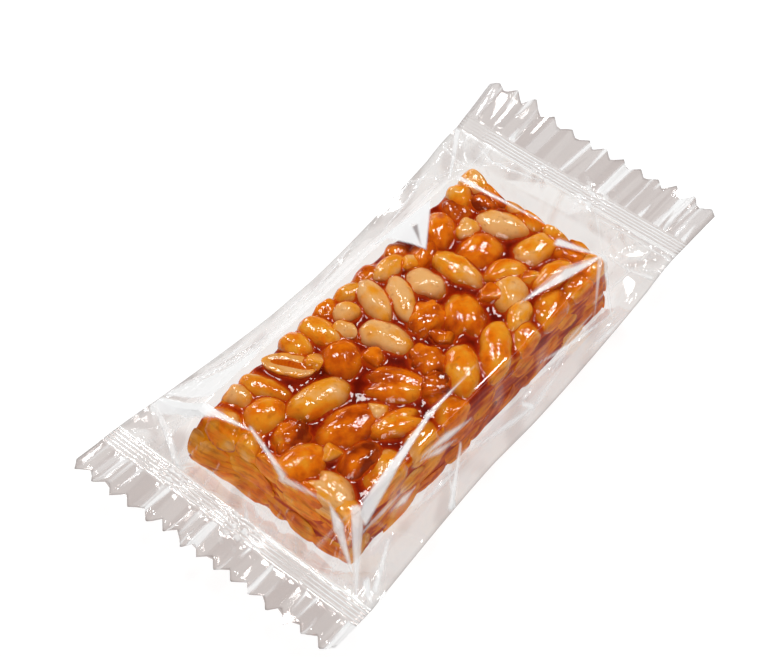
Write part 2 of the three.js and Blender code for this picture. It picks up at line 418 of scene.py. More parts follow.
@dataclass
class PackShape:
    """The pack's named sizes. The film lies on the nuts, so its deck is a little above the solid's."""

    bar_width: float = 42.0
    bar_near: float = -47.2
    bar_far: float = 42.3
    near_lean: float = 1.5
    far_lean: float = 1.2
    near_inset: float = 0.45
    far_inset: float = 0.6
    deck: float = 19.05
    gap_below_deck: float = 0.12
    gap_above_foot: float = 0.25
    edge_round: float = 0.5
    near_swell: float = 3.8
    far_swell: float = 2.6
    fold_half: float = 31.4
    fold_flare: float = 3.6
    flare_from: float = -12
    flare_length: float = 45
    fold_low: float = 8.9
    side_sag: float = 0.7
    near: Seal = Seal(-1, -57.0, -70.25, 10.8, 35.0, 15, (-1.0, 1.2, 0.0))
    far: Seal = Seal(1, 53.0, 70.25, 17.4, 32.0, 13, (0.6, 2.6, 1.6))

    def fold_y(self, x: Array) -> Array:
        """Half width of the side folds."""
        share = np.clip((self.flare_from - x) / self.flare_length, 0, 1)
        return self.fold_half + self.fold_flare * share**1.3

    def fold_z(self, x: Array) -> Array:
        """Height of the side folds."""
        near = (self.near.height - self.fold_low) * np.clip(x / self.near.line_x, 0, 1)
        far = (self.far.height - self.fold_low) * np.clip(x / self.far.line_x, 0, 1) ** 1.5
        return self.fold_low + near + far

    def near_face(self, y: Array, z: Array) -> Array:
        """Where the bar's near face lies: it leans out at the foot and swells at its left corner."""
        lean = self.near_lean * (1 - z / self.deck)
        swell = self.near_swell * smoothstep(3, 19, y)
        swell = swell * smoothstep(-18.2, -9.0, -z) * smoothstep(-1.0, 8.0, z)
        return self.bar_near + self.near_inset - lean - swell

    def far_face(self, y: Array, z: Array) -> Array:
        """Where the bar's far face lies: its left corner stands out."""
        lean = self.far_lean * (1 - z / self.deck)
        swell = self.far_swell * smoothstep(9, 19, y) * smoothstep(6, 15, z)
        return self.bar_far - self.far_inset + lean + swell

    def trim(self, points: Array, inset: float, keep: float) -> Array:
        """Cuts points back to the bar's faces.

        Args:
            points: N by 3 places, changed in place.
            inset: How far inside the faces the cut lies.
            keep: Share of what stood out that is left, so a cut face is not quite flat.

        Returns:
            The points.
        """
        share = 1 - keep
        x, y, z = points.T
        half = self.bar_width / 2 - inset
        points[:, 1] -= share * (np.abs(y) - half).clip(0) * np.sign(y)
        points[:, 0] += share * (self.near_face(y, z) + inset - x).clip(0)
        points[:, 0] -= share * (x - self.far_face(y, z) + inset).clip(0)
        points[:, 2] += (self.gap_above_foot - z).clip(0)
        points[:, 2] -= (points[:, 2] - self.deck + self.gap_below_deck).clip(0) * share
        return points

    def closing(self, x: Array, overhang: float) -> Array:
        """How far the tube has closed: 0 over the bar and its overhang, 1 at a seal."""
        near_edge = self.bar_near - overhang
        far_edge = self.bar_far + overhang
        near = np.clip((near_edge - x) / (near_edge - self.near.line_x), 0, 1)
        far = np.clip((x - far_edge) / (self.far.line_x - far_edge), 0, 1)
        return near + far


# ---------------------------------------------------------------- peanuts


class Cut(Enum):
    """What a kernel is: whole, opened along its seam, a half with its flat face up, crinkled, or a chip."""

    WHOLE = "whole"
    SEAM = "seam"
    HALF = "half"
    CRINKLED = "crinkled"
    CHIP = "chip"


@dataclass
class Kernel:
    """One peanut kernel, lying in the bar."""

    x: float
    y: float
    length: float
    width: float
    turn: float
    tone: float = 0.4
    cut: Cut = Cut.WHOLE
    sink: float = 0.0
    pitch: float = 0.0
    roll: float = 0.0
    z: float | None = None

    @property
    def thickness(self) -> float:
        """Height when lying flat."""
        return self.width * (0.52 if self.cut is Cut.HALF else FLATNESS)

    def grow(self, share: float) -> None:
        """Makes the kernel longer and wider by the same share."""
        self.length, self.width = self.length * share, self.width * share

    def centre(self, deck: float) -> Array:
        """The kernel's middle, just under the film unless its height is given."""
        height = self.z if self.z is not None else deck - 0.2 - self.sink - self.thickness / 2
        return np.array([self.x, self.y, height])

    def rotation(self) -> Array:
        """The kernel's turn as a 3 by 3 matrix."""
        turn = Matrix.Rotation(math.radians(self.turn), 3, "Z")
        pitch = Matrix.Rotation(math.radians(self.pitch), 3, "Y")
        roll = Matrix.Rotation(math.radians(self.roll), 3, "X")
        return np.array(turn @ pitch @ roll)

    def points(self, around: int, along: int, rng: np.random.Generator) -> Array:
        """The kernel's surface about its own middle.

        Args:
            around: Points in each ring.
            along: Rings between the poles.
            rng: Seeded source of its unevenness.

        Returns:
            Two poles and then the rings, N by 3, in millimetres.
        """
        # A ball, blunter than a sphere at its ends and a little stouter towards +X.
        a = np.linspace(0, math.pi, along + 2)[1:-1]
        b = np.linspace(0, 2 * math.pi, around, endpoint=False)
        lengthwise = -np.cos(a)[:, None] * np.ones(around)
        girth = (np.sin(a) ** 0.86 * (1 + 0.10 * -np.cos(a)))[:, None]
        p = np.stack([lengthwise, girth * np.cos(b), girth * np.sin(b)], axis=-1).reshape(-1, 3)
        p = np.vstack([[-1, 0, 0], [1, 0, 0], p])
        # The germ's nib, at the other end.
        nib = np.exp(-((np.hypot(p[:, 1], p[:, 2]) / 0.3) ** 2)) * (p[:, 0] < 0)
        p[:, 0] -= 0.07 * nib
        if self.cut is Cut.HALF:
            # A flat upper face, with a shallow trough along its middle.
            upper = p[:, 2] > 0
            trough = 0.22 * np.exp(-((p[:, 1] / 0.3) ** 2)) * (1 - p[:, 0] ** 2).clip(0)
            p[:, 2] = np.where(upper, p[:, 2] * 0.16 - trough * smoothstep(0, 0.5, p[:, 2]), p[:, 2])
        if self.cut is Cut.SEAM:
            # A groove that widens towards +X, where it notches the end.
            open_end = smoothstep(-0.9, 0.9, p[:, 0])
            groove = np.exp(-((p[:, 1] / (0.10 + 0.16 * open_end)) ** 2))
            p[:, 2] -= 0.22 * groove * (p[:, 2] > 0) * (0.35 + 0.65 * open_end)
            p[:, 0] -= 0.20 * groove * smoothstep(0.3, 1.0, p[:, 0])
        size = np.array([self.length, self.width, self.width * FLATNESS]) / 2
        p = p * size
        amount, span = {Cut.CRINKLED: (0.32, 2.6), Cut.CHIP: (0.36, 3.0)}.get(self.cut, (0.2, 5.5))
        way = p / np.linalg.norm(p, axis=1, keepdims=True)
        uneven = amount * waves(p, rng, span) + 0.07 * waves(p, rng, 2.2) + 0.08 * waves(p, rng, 3.4)
        p += way * uneven[:, None]
        if self.cut is Cut.CHIP:
            # Broken faces, where three planes cut off what stands past them.
            for _ in range(3):
                normal = rng.normal(size=3)
                normal /= np.linalg.norm(normal)
                over = (p @ normal - 0.30 * self.width).clip(0)
                p -= over[:, None] * normal * 0.85
        return p


def sphere_faces(around: int, along: int) -> list[tuple[int, ...]]:
    """Faces of a ball whose points are two poles and then rings.

    Args:
        around: Points in each ring.
        along: Number of rings.

    Returns:
        Vertex numbers, outward faces.
    """
    faces: list[tuple[int, ...]] = []
    for j in range(around):
        k = (j + 1) % around
        faces.append((0, 2 + k, 2 + j))
        last = 2 + (along - 1) * around
        faces.append((1, last + j, last + k))
        for i in range(along - 1):
            row = 2 + i * around
            faces.append((row + j, row + k, row + around + k, row + around + j))
    return faces


def top_kernels(swollen: float = 1.06, sunk: float = 1.1, sunk_far: float = 0.4) -> list[Kernel]:
    """The kernels of the upper side, placed as the photograph shows them.

    Each row is x, y, length, width, turn in degrees, roast and kind.

    Args:
        swollen: Growth of the inner ones, for their glaze.
        sunk: How far those at the bar's edges lie below the others.
        sunk_far: The same, at the far end.

    Returns:
        Kernels with their centres in the pack's frame.
    """
    w, s, h, c, p = Cut.WHOLE, Cut.SEAM, Cut.HALF, Cut.CRINKLED, Cut.CHIP
    rows = [
        (-38.2, 10.3, 10.2, 9.6, 0, 0.44, w), (-28.0, 4.4, 16.0, 9.0, -14, 0.34, w),
        (-29.4, -5.2, 16.0, 11.0, -16, 0.78, w), (-43.0, -3.9, 13.6, 9.8, -3, 0.50, w),
        (-43.6, -13.4, 11.8, 8.8, 84, 0.14, s), (-34.0, -12.6, 10.8, 6.6, -5, 0.84, w),
        (-38.6, 2.3, 8.0, 7.0, 0, 0.86, c), (-25.2, 14.8, 11.0, 5.4, -65, 0.16, h),
        (-22.3, -12.5, 12.2, 6.6, -25, 0.52, s), (-21.3, 11.0, 4.8, 3.6, 40, 0.30, p),
        (-20.2, 17.4, 7.5, 5.7, 90, 0.30, w), (-14.0, 15.9, 10.5, 6.6, 95, 0.34, w),
        (-16.5, 7.6, 10.8, 9.0, 50, 0.66, w), (-14.4, -6.0, 15.4, 10.8, 125, 0.64, s),
        (-12.2, 2.3, 5.2, 4.2, 60, 0.62, p), (-22.2, -7.4, 5.2, 4.4, 90, 0.26, p),
        (-5.8, 3.6, 12.9, 8.4, 100, 0.10, w), (0.3, 12.4, 13.2, 6.2, 65, 0.06, w),
        (4.6, 8.3, 12.6, 5.4, 55, 0.06, w), (9.6, 16.2, 8.2, 5.2, 0, 0.22, w),
        (11.5, 6.8, 10.0, 7.8, 90, 0.00, w), (3.8, 0.4, 10.2, 8.6, 10, 0.62, c),
        (9.8, -4.9, 13.8, 10.8, -138, 0.56, s), (19.2, 4.3, 13.5, 6.9, 88, 0.30, w),
        (26.6, 4.0, 11.8, 10.4, 0, 0.62, w), (29.8, 9.8, 6.0, 5.0, 10, 0.16, w),
        (36.2, 4.3, 13.2, 7.8, 115, 0.06, w), (25.3, -4.6, 10.0, 7.0, -32, 0.56, w),
        (34.8, -5.6, 11.2, 8.2, -8, 0.18, w), (20.8, -9.4, 11.0, 8.4, 35, 0.12, w),
        (17.0, -14.6, 8.4, 4.8, 15, 0.30, w), (-2.3, -14.2, 13.6, 7.4, 42, 0.36, w),
        (6.8, -16.2, 15.6, 7.4, 35, 0.38, w),
        (2.0, -6.5, 7.2, 3.2, -65, 0.50, p), (-5.0, -7.0, 9.0, 7.4, 80, 0.80, c),
        (-6.2, 15.0, 5.8, 5.6, 0, 0.28, w), (-10.5, 11.8, 5.2, 4.4, 80, 0.24, p),
        (25.2, 14.4, 11.2, 7.4, 38, 0.60, w), (36.4, 17.4, 6.4, 6.0, 60, 0.30, w),
        (31.2, -13.4, 11.4, 6.6, -8, 0.34, w), (17.5, 12.6, 8.0, 5.6, 20, 0.72, c),
        (17.6, -6.2, 5.6, 4.6, 0, 0.56, p), (27.4, -10.2, 5.0, 4.0, 0, 0.46, p),
        (13.0, 13.0, 5.6, 4.2, 10, 0.36, p), (-9.6, -12.8, 7.4, 6.0, 30, 0.80, c),
        (-36.5, -6.9, 4.6, 3.4, 0, 0.30, p), (41.0, 0.0, 7.2, 5.6, 80, 0.52, w),
    ]
    lying = [Kernel(*row) for row in rows]
    for kernel in lying:
        kernel.grow(swollen)
    edge_rows = [
        (-47.0, 0.5, 8.2, 6.8, 80, 0.44, w), (-46.0, 7.8, 8.8, 5.8, 20, 0.22, w),
        (-45.0, 15.0, 10.5, 8.4, 70, 0.40, w), (-37.8, 17.6, 7.4, 6.4, 90, 0.28, w),
        (-32.6, 15.2, 12.8, 6.6, 100, 0.46, w), (-33.2, -18.0, 14.6, 8.4, 12, 0.36, w),
        (-21.7, -18.6, 11.0, 8.0, 20, 0.28, w), (-12.0, -18.6, 9.8, 7.8, -10, 0.50, w),
        (-1.5, 18.2, 8.4, 6.4, 0, 0.28, w), (14.2, 17.4, 7.2, 6.0, 60, 0.62, w),
        (13.8, -18.2, 9.4, 7.8, 20, 0.42, w), (24.0, -18.0, 13.0, 7.4, 12, 0.46, w),
        (33.2, 15.6, 9.6, 8.4, 30, 0.72, w), (43.4, 17.6, 11.6, 9.8, 5, 0.16, w),
        (43.0, 10.9, 8.4, 6.8, 70, 0.52, w), (43.2, 4.4, 8.6, 6.6, 80, 0.20, w),
        (38.6, 12.0, 6.4, 5.2, 90, 0.86, w), (33.0, -18.6, 9.0, 7.0, -4, 0.52, w),
        (38.6, -18.4, 8.6, 6.4, 12, 0.36, w), (38.4, -12.8, 8.4, 6.0, -68, 0.50, w),
        (-46.4, -10.4, 7.0, 6.0, 80, 0.62, c), (-45.0, -18.2, 9.0, 7.0, 60, 0.34, w),
        (5.0, 18.6, 8.0, 5.6, -10, 0.62, w), (-8.6, 19.0, 7.0, 5.0, 0, 0.55, c),
        (42.0, -6.6, 7.6, 5.8, 85, 0.24, w), (42.6, -13.2, 6.6, 5.6, 60, 0.44, w),
    ]
    for row in edge_rows:
        kernel = Kernel(*row)
        kernel.sink = sunk_far if kernel.x > 35 else sunk
        lying.append(kernel)
    return lying


@dataclass
class KernelBed:
    """All kernels of the bar: those on top, placed one by one, and those below, packed at random.

    Side rows are pairs of height and depth behind the face. Inner layers are pairs of height and step. The
    trims are how far inside the bar's faces a kernel is cut, and the share of what stood out that is left.
    """

    shape: PackShape
    rng: np.random.Generator = field(default_factory=lambda: np.random.default_rng(SEED))
    fine: tuple[int, int] = (32, 20)
    coarse: tuple[int, int] = (24, 14)
    lengths: tuple[float, float] = (8.5, 14.5)
    widths: tuple[float, float] = (5.6, 8.8)
    side_rows: tuple[tuple[float, float], ...] = ((11.0, 2.6), (4.2, 2.4))
    side_step: float = 8.0
    end_step: float = 7.4
    inner_layers: tuple[tuple[float, float], ...] = ((4.0, 9.6), (13.0, 7.0))
    inner_size: float = 0.85
    inner_roast: float = 0.3
    glow_corner_tone: float = 0.42
    top_trim: tuple[float, float] = (0.1, 0.15)
    low_trim: tuple[float, float] = (0.32, 0.10)
    roast_across: float = 0.16
    roast_streaks: float = 0.10
    bath_on_cut: float = 0.32
    cast_share: float = 0.95

    def loose_kernel(self, x: float, y: float, z: float, turn: float) -> Kernel:
        """A kernel of random size and roast at that place.

        Args:
            x: Place along the pack.
            y: Place across it.
            z: Height of its middle.
            turn: Its mean turn in degrees.

        Returns:
            The kernel.
        """
        rng = self.rng
        length, width = rng.uniform(*self.lengths), rng.uniform(*self.widths)
        turn += rng.normal() * 30
        roast = 0.22 + 0.6 * float(rng.beta(1.6, 1.6))
        cut = rng.choice([Cut.WHOLE, Cut.WHOLE, Cut.HALF, Cut.CRINKLED])
        pitch, roll = float(np.clip(rng.normal() * 22, -30, 30)), rng.uniform(-90, 90)
        return Kernel(x, y, length, width, turn, roast, cut, pitch=pitch, roll=roll, z=z)

    def lower_kernels(self) -> list[Kernel]:
        """Kernels below the top layer: two rows along each cut face, and two layers within.

        Returns:
            Kernels that the settling then pushes clear of each other and of the upper ones.
        """
        shape, rng = self.shape, self.rng
        half_y = shape.bar_width / 2
        found: list[Kernel] = []
        for height, deep in self.side_rows:
            for side in (-1, 1):
                for x in np.arange(shape.bar_near + 3, shape.bar_far - 2, self.side_step):
                    at_x, at_y = x + rng.uniform(-1.4, 1.4), side * (half_y - deep)
                    found.append(self.loose_kernel(at_x, at_y, height + rng.uniform(-1.0, 1.0), 0))
            for y in np.arange(-half_y + 5, half_y - 3, self.end_step):
                at_y, at_z = y + rng.uniform(-1, 1), height + rng.uniform(-1.0, 1.0)
                near = float(shape.near_face(np.array(at_y), np.array(at_z))) + deep
                far = float(shape.far_face(np.array(at_y), np.array(at_z))) - deep
                found += [self.loose_kernel(near, at_y, at_z, 90), self.loose_kernel(far, at_y, at_z, 90)]
        for height, step in self.inner_layers:
            for x in np.arange(shape.bar_near + 7, shape.bar_far - 4, step):
                for y in np.arange(-half_y + 6, half_y - 4, step * 0.8):
                    at_x, at_y = x + rng.uniform(-1.5, 1.5), y + rng.uniform(-1.2, 1.2)
                    kernel = self.loose_kernel(at_x, at_y, height, rng.uniform(0, 180))
                    kernel.tone += self.inner_roast
                    kernel.grow(self.inner_size)
                    found.append(kernel)
        return found

    def settle(self, fixed: list[Kernel], loose: list[Kernel], rounds: int = 60) -> None:
        """Pushes the loose kernels apart, each as three balls along its length.

        Args:
            fixed: Kernels that stay.
            loose: Kernels that move, in place.
            rounds: How many times they are pushed.
        """
        kernels = fixed + loose
        shares = np.array([-0.30, 0.0, 0.30])
        centres = np.array([k.centre(self.shape.deck) for k in kernels])
        axes = np.array([k.rotation()[:, 0] * k.length for k in kernels])
        radii = np.array([[k.thickness * r for r in (0.42, 0.48, 0.42)] for k in kernels]).ravel()
        owner = np.repeat(np.arange(len(kernels)), 3)
        free = owner >= len(fixed)
        home = centres.copy()
        pull_home = np.array([0.02, 0.10, 0.15])
        for _ in range(rounds):
            balls = (centres[:, None] + axes[:, None] * shares[None, :, None]).reshape(-1, 3)
            gap = balls[:, None] - balls[None]
            reach = np.linalg.norm(gap, axis=-1) + 1e-9
            overlap = (radii[:, None] + radii[None] - reach).clip(0)
            overlap[owner[:, None] == owner[None]] = 0
            push = (gap / reach[..., None] * overlap[..., None]).sum(axis=1) * 0.35
            push[~free] = 0
            for k in range(3):
                centres += push[k::3] * 0.34
            centres += (home - centres) * pull_home
            centres[:, 2] = np.minimum(centres[:, 2], home[:, 2] + 0.3)
        for kernel, centre in zip(loose, centres[len(fixed) :]):
            kernel.x, kernel.y, kernel.z = centre

    def dress(self, kernel: Kernel, number: int, on_top: bool) -> tuple[Array, dict[str, Array]]:
        """A kernel's surface in the bar, cut back to the bar's faces, and what its finish reads.

        Args:
            kernel: The kernel.
            number: Its number, which seeds its unevenness.
            on_top: Whether it belongs to the upper side.

        Returns:
            Its points, and the values of each attribute at them.
        """
        rng = np.random.default_rng(SEED * 1000 + number)
        own = kernel.points(*(self.fine if on_top else self.coarse), rng)
        whole = own @ kernel.rotation().T + kernel.centre(self.shape.deck)
        placed = self.shape.trim(whole.copy(), *(self.top_trim if on_top else self.low_trim))
        sliced = smoothstep(0.03, 0.3, np.linalg.norm((placed - whole)[:, :2], axis=1))
        way = rng.normal(size=3)
        drift = self.roast_across * rng.normal() * (own @ (way / np.linalg.norm(way))) / (kernel.length / 2)
        drift = drift + self.roast_streaks * waves(own * np.array([0.35, 1.0, 1.0]), rng, 3.2)
        # Painted glow: kernels at the near left corner are set to a lighter, more golden tone.
        drift = drift + (self.glow_corner_tone - kernel.tone) * 0.8 * glow_corner(placed)
        # Darker lower down on each kernel and deeper in the bar: partly pooled glaze, partly painted shade.
        drop = ((placed[:, 2].max() - placed[:, 2]) / (0.6 * kernel.thickness)).clip(0, 1)
        bath = np.maximum(self.bath(placed), self.bath_on_cut * sliced + drop**1.3 * (1 - sliced))
        return placed, {"tone": kernel.tone + drift, "bath": bath, "cut": sliced}

    def build(self, material: bpy.types.Material) -> tuple[list[bpy.types.Object], Array, list]:
        """Makes the kernels as joined meshes: the whole and the broken ones on top, and those below.

        Args:
            material: Their finish.

        Returns:
            The pieces, and the points and faces of all kernels together, the upper ones a little shrunk, so
            that the caramel cast round them stays below their skin.
        """
        upper, lower = top_kernels(), self.lower_kernels()
        self.settle(upper, lower)
        groups: dict[str, tuple[list, list, dict[str, list]]] = {}
        all_points: list[Array] = []
        all_faces: list[tuple[int, ...]] = []
        total = 0
        for number, kernel in enumerate(upper + lower):
            on_top = number < len(upper)
            placed, marks = self.dress(kernel, number, on_top)
            faces = sphere_faces(*(self.fine if on_top else self.coarse))
            name = "kernels_whole" if kernel.cut in (Cut.WHOLE, Cut.SEAM) else "kernels_broken"
            points, rows, values = groups.setdefault(name if on_top else "kernels_below", ([], [], {}))
            start = sum(len(q) for q in points)
            rows += [tuple(v + start for v in face) for face in faces]
            points.append(placed)
            for mark, value in marks.items():
                values.setdefault(mark, []).append(value)
            centre = kernel.centre(self.shape.deck)
            all_points.append(centre + (placed - centre) * (self.cast_share if on_top else 1.0))
            all_faces += [tuple(v + total for v in face) for face in faces]
            total += len(placed)
        pieces = []
        for name, (points, rows, values) in groups.items():
            piece = make_mesh(name, np.vstack(points), rows, material)
            for mark, value in values.items():
                paint(piece, mark, np.concatenate(value))
            pieces.append(piece)
        return pieces, np.vstack(all_points), all_faces

    def bath(self, points: Array) -> Array:
        """How deep in the bar each point lies, for the pooled glaze and painted shade: 0 at the bar's faces,
        1 some 4 mm in.
        """
        return (depth_in_bar(points, self.shape) / 4.0).clip(0, 1)


def depth_in_bar(points: Array, shape: PackShape) -> Array:
    """Distance in millimetres from each point to the nearest face of the bar's box."""
    x, y, z = points.T
    near, far = shape.near_face(y, z), shape.far_face(y, z)
    return np.minimum.reduce([x - near, far - x, shape.bar_width / 2 - np.abs(y), z, shape.deck - z]).clip(0)


def glow_corner(points: Array) -> Array:
    """1 at the near left corner, where a painted glow stands in for light coming through the caramel, and 0
    elsewhere.
    """
    return smoothstep(36.0, 46.0, -points[:, 0]) * smoothstep(-10.0, 12.0, points[:, 1])


# ---------------------------------------------------------------- caramel


@dataclass
class CaramelBody:
    """The cast sugar between the kernels, drawn up round each one by surface tension."""

    shape: PackShape
    level: float = 16.1
    inset: float = 0.3
    foot: float = 0.5
    voxel: float = 0.45
    smoothing: int = 12
    cut_smoothing: int = 2
    cut_inset: float = 0.15
    dark_from: float = 3.5
    pool_gap: tuple[float, float] = (0.1, 1.5)
    strata_length: float = 3.5
    corner_glow: float = 0.25

    def core(self) -> tuple[Array, list[tuple[int, ...]]]:
        """The block under the kernels, with an uneven skin.

        Returns:
            Points and faces.
        """
        half = self.shape.bar_width / 2 - self.inset
        low = np.array([self.shape.bar_near + self.inset, -half, self.foot])
        high = np.array([self.shape.bar_far - self.inset, half, self.level])
        steps = np.ceil((high - low) / 1.0).astype(int)
        points: list[Array] = []
        faces: list[tuple[int, ...]] = []
        for axis in range(3):
            u, v = [k for k in range(3) if k != axis]
            for side in (0, 1):
                us = np.linspace(low[u], high[u], steps[u] + 1)
                vs = np.linspace(low[v], high[v], steps[v] + 1)
                grid = np.zeros((len(us), len(vs), 3))
                grid[..., u], grid[..., v] = np.meshgrid(us, vs, indexing="ij")
                grid[..., axis] = high[axis] if side else low[axis]
                start = sum(len(q) for q in points)
                points.append(grid.reshape(-1, 3))
                flip = (side == 1) != (axis == 1)
                for i in range(len(us) - 1):
                    for j in range(len(vs) - 1):
                        a = start + i * len(vs) + j
                        quad = (a, a + len(vs), a + len(vs) + 1, a + 1)
                        faces.append(quad if flip else quad[::-1])
        skin = np.vstack(points)
        rng = np.random.default_rng(SEED + 1)
        middle = (low + high) / 2
        swell = waves(skin, rng, 6.0)[:, None] * np.array([0.25, 0.25, 0.75])
        skin = middle + (skin - middle) * (1 + swell / (high - low))
        _, y, z = skin.T
        share = (skin[:, 0] - low[0]) / (high[0] - low[0])
        near, far = self.shape.near_face(y, z) + self.inset, self.shape.far_face(y, z) - self.inset
        skin[:, 0] = near + (far - near) * share
        return skin, faces

    def cast(self, points: Array, faces: list, material: bpy.types.Material) -> bpy.types.Mesh:
        """Joins overlapping shells into one skin.

        Args:
            points: N by 3 places in millimetres.
            faces: Rows of vertex numbers.
            material: The finish.

        Returns:
            The joined mesh, in metres.
        """
        rough = make_mesh("caramel_rough", points, faces, material)
        remesh = rough.modifiers.new("cast", "REMESH")
        remesh.mode = "VOXEL"
        remesh.voxel_size = self.voxel * MM
        remesh.use_smooth_shade = True
        mesh = bpy.data.meshes.new_from_object(rough.evaluated_get(bpy.context.evaluated_depsgraph_get()))
        bpy.data.objects.remove(rough)
        return mesh

    @staticmethod
    def relax(skin: Array, edges: Array, rounds: int) -> Array:
        """Draws each point half way to the middle of its neighbours, some rounds over.

        Args:
            skin: N by 3 places.
            edges: Pairs of vertex numbers.
            rounds: How many times.

        Returns:
            The new places.
        """
        degree = np.bincount(edges.ravel(), minlength=len(skin))[:, None]
        for _ in range(rounds):
            total = np.zeros_like(skin)
            for k in range(3):
                total[:, k] = np.bincount(edges[:, 0], skin[edges[:, 1], k], len(skin))
                total[:, k] += np.bincount(edges[:, 1], skin[edges[:, 0], k], len(skin))
            skin = skin + 0.5 * (total / degree - skin)
        return skin

    def marks(self, points: Array, kernel_points: Array) -> dict[str, Array]:
        """What the finish reads: how deep the sugar is, with painted shade deeper in the gaps and a painted
        glow at the near left corner, and where it is cut.

        Args:
            points: The caramel's places in millimetres.
            kernel_points: The kernels' places.

        Returns:
            The values of each attribute.
        """
        nearest = KDTree(len(kernel_points))
        for number, point in enumerate(kernel_points):
            nearest.insert(point, number)
        nearest.balance()
        gap = np.array([nearest.find(point)[2] for point in points])
        # Painted shade: darker the further the caramel lies inside the bar's faces, at the bottom of the
        # gaps.
        sunk = (depth_in_bar(points, self.shape) / self.dark_from).clip(0, 1)
        x, y, z = points.T
        ends = np.minimum(x - self.shape.near_face(y, z), self.shape.far_face(y, z) - x)
        beside = np.minimum(ends, self.shape.bar_width / 2 - np.abs(y))
        cut = smoothstep(-1.2, -0.4, -beside) * smoothstep(-18.2, -16.5, -z)
        lying = points * np.array([0.3, 0.3, 2.0])
        strata = waves(lying, np.random.default_rng(SEED + 4), self.strata_length)
        depth = smoothstep(*self.pool_gap, gap) * 0.65 + sunk * 0.35
        depth += (0.24 + 0.28 * strata - depth) * 0.75 * cut
        # Painted glow: the caramel at the near left corner is set thinner, so lighter and more yellow.
        return {"depth": (depth - self.corner_glow * glow_corner(points)).clip(0, 1), "cut": cut}

    def build(
        self, kernel_points: Array, kernel_faces: list, material: bpy.types.Material
    ) -> bpy.types.Object:
        """Joins the core and the kernels, and lets the joined skin settle between them.

        Args:
            kernel_points: Points of all kernels, the upper ones a little shrunk.
            kernel_faces: Their faces.
            material: The finish.

        Returns:
            The caramel.
        """
        skin, faces = self.core()
        rows = faces + [tuple(v + len(skin) for v in face) for face in kernel_faces]
        mesh = self.cast(np.vstack([skin, kernel_points]), rows, material)
        points = np.empty(len(mesh.vertices) * 3)
        mesh.vertices.foreach_get("co", points)
        edges = np.empty(len(mesh.edges) * 2, dtype=np.int64)
        mesh.edges.foreach_get("vertices", edges)
        edges = edges.reshape(-1, 2)
        points = self.relax(points.reshape(-1, 3) / MM, edges, self.smoothing)
        points = self.relax(self.shape.trim(points, self.cut_inset, 0.0), edges, self.cut_smoothing)
        mesh.vertices.foreach_set("co", (points * MM).ravel())
        mesh.update()
        mesh.materials.clear()
        mesh.materials.append(material)
        caramel = link("caramel", mesh)
        for mark, values in self.marks(points, kernel_points).items():
            paint(caramel, mark, values)
        return caramel


# ---------------------------------------------------------------- film


@dataclass(frozen=True)
class Crease:
    """A fold line in the film: a ridge that rises from its start to its end, with a flank on each side. Its
    flanks carry painted white, partly stress whitening and partly a painted highlight, and painted grey
    shade.

    Places are seen from above. Left and right are as seen looking from the start to the end.
    """

    x0: float
    y0: float
    x1: float
    y1: float
    left: float
    right: float
    rise: float
    white_left: float = 0.0
    white_right: float = 0.0
    tip: float = 0.0
    crest: bool = False
    grey: float = 0.0

    def raise_on(self, x: Array, y: Array) -> tuple[Array, Array, Array]:
        """How far the film stands out, and the white and grey painted on it, at each place.

        Args:
            x: Places along the pack.
            y: Places across it.

        Returns:
            Heights in millimetres, white of 0 to 1 (partly stress whitening, partly a painted highlight), and
            painted grey shade of 0 to 1 on the right flank.
        """
        dx, dy = self.x1 - self.x0, self.y1 - self.y0
        long = math.hypot(dx, dy)
        along = ((x - self.x0) * dx + (y - self.y0) * dy) / long**2
        off = ((y - self.y0) * dx - (x - self.x0) * dy) / long
        grown = self.tip + (1 - self.tip) * np.clip(along, 0, 1)
        stop = 1.5 / long
        inside = np.clip((1 + stop - along) / stop, 0, 1) * np.clip(1 + along / stop, 0, 1)
        flank = np.where(off > 0, 1 - off / (self.left * grown + 1e-6), 1 + off / (self.right * grown + 1e-6))
        height = self.rise * grown * np.clip(flank, 0, 1) * inside
        # Painted white on the flanks, partly stress whitening and partly a painted highlight; painted grey
        # shade on the right flank.
        white = self.white_right + (self.white_left - self.white_right) * np.clip(off / SOFT_EDGE + 0.5, 0, 1)
        within = np.minimum(self.left * grown - off, self.right * grown + off)
        soft = np.clip(within / SOFT_EDGE + 0.5, 0, 1) * np.clip(2 * inside - 0.5, 0, 1)
        spread = np.clip(flank, 0, 1) ** 2 if self.crest else 1.0
        return height, white * spread * soft, self.grey * (off < 0) * soft


@dataclass(frozen=True)
class Panel:
    """A facet of the film between creases, covered as a whole by its painted white, a painted highlight, and
    its painted grey, painted shade. Its corners are seen from above.
    """

    corners: tuple[tuple[float, float], ...]
    white: float = 0.0
    grey: float = 0.0

    def covers(self, x: Array, y: Array) -> Array:
        """How far each place lies inside the facet, with a soft edge.

        Args:
            x: Places along the pack.
            y: Places across it.

        Returns:
            0 outside and 1 inside.
        """
        inside = np.zeros(x.shape, dtype=bool)
        nearest = np.full(x.shape, np.inf)
        for (x0, y0), (x1, y1) in zip(self.corners, self.corners[1:] + self.corners[:1]):
            if y0 != y1:
                inside ^= ((y0 > y) != (y1 > y)) & (x < (x1 - x0) * (y - y0) / (y1 - y0) + x0)
            dx, dy = x1 - x0, y1 - y0
            along = np.clip(((x - x0) * dx + (y - y0) * dy) / (dx * dx + dy * dy), 0, 1)
            nearest = np.minimum(nearest, np.hypot(x - x0 - along * dx, y - y0 - along * dy))
        return np.clip(np.where(inside, nearest, -nearest) / SOFT_EDGE + 0.5, 0, 1)

    def paint(self, x: Array, y: Array, strain_and_highlight: Array, shade: Array) -> None:
        """Lays the facet's white and grey over what is there, in place."""
        cover = self.covers(x, y)
        # Lays the painted highlight white and the painted shade grey.
        strain_and_highlight += (self.white - strain_and_highlight) * cover
        shade += (self.grey - shade) * cover


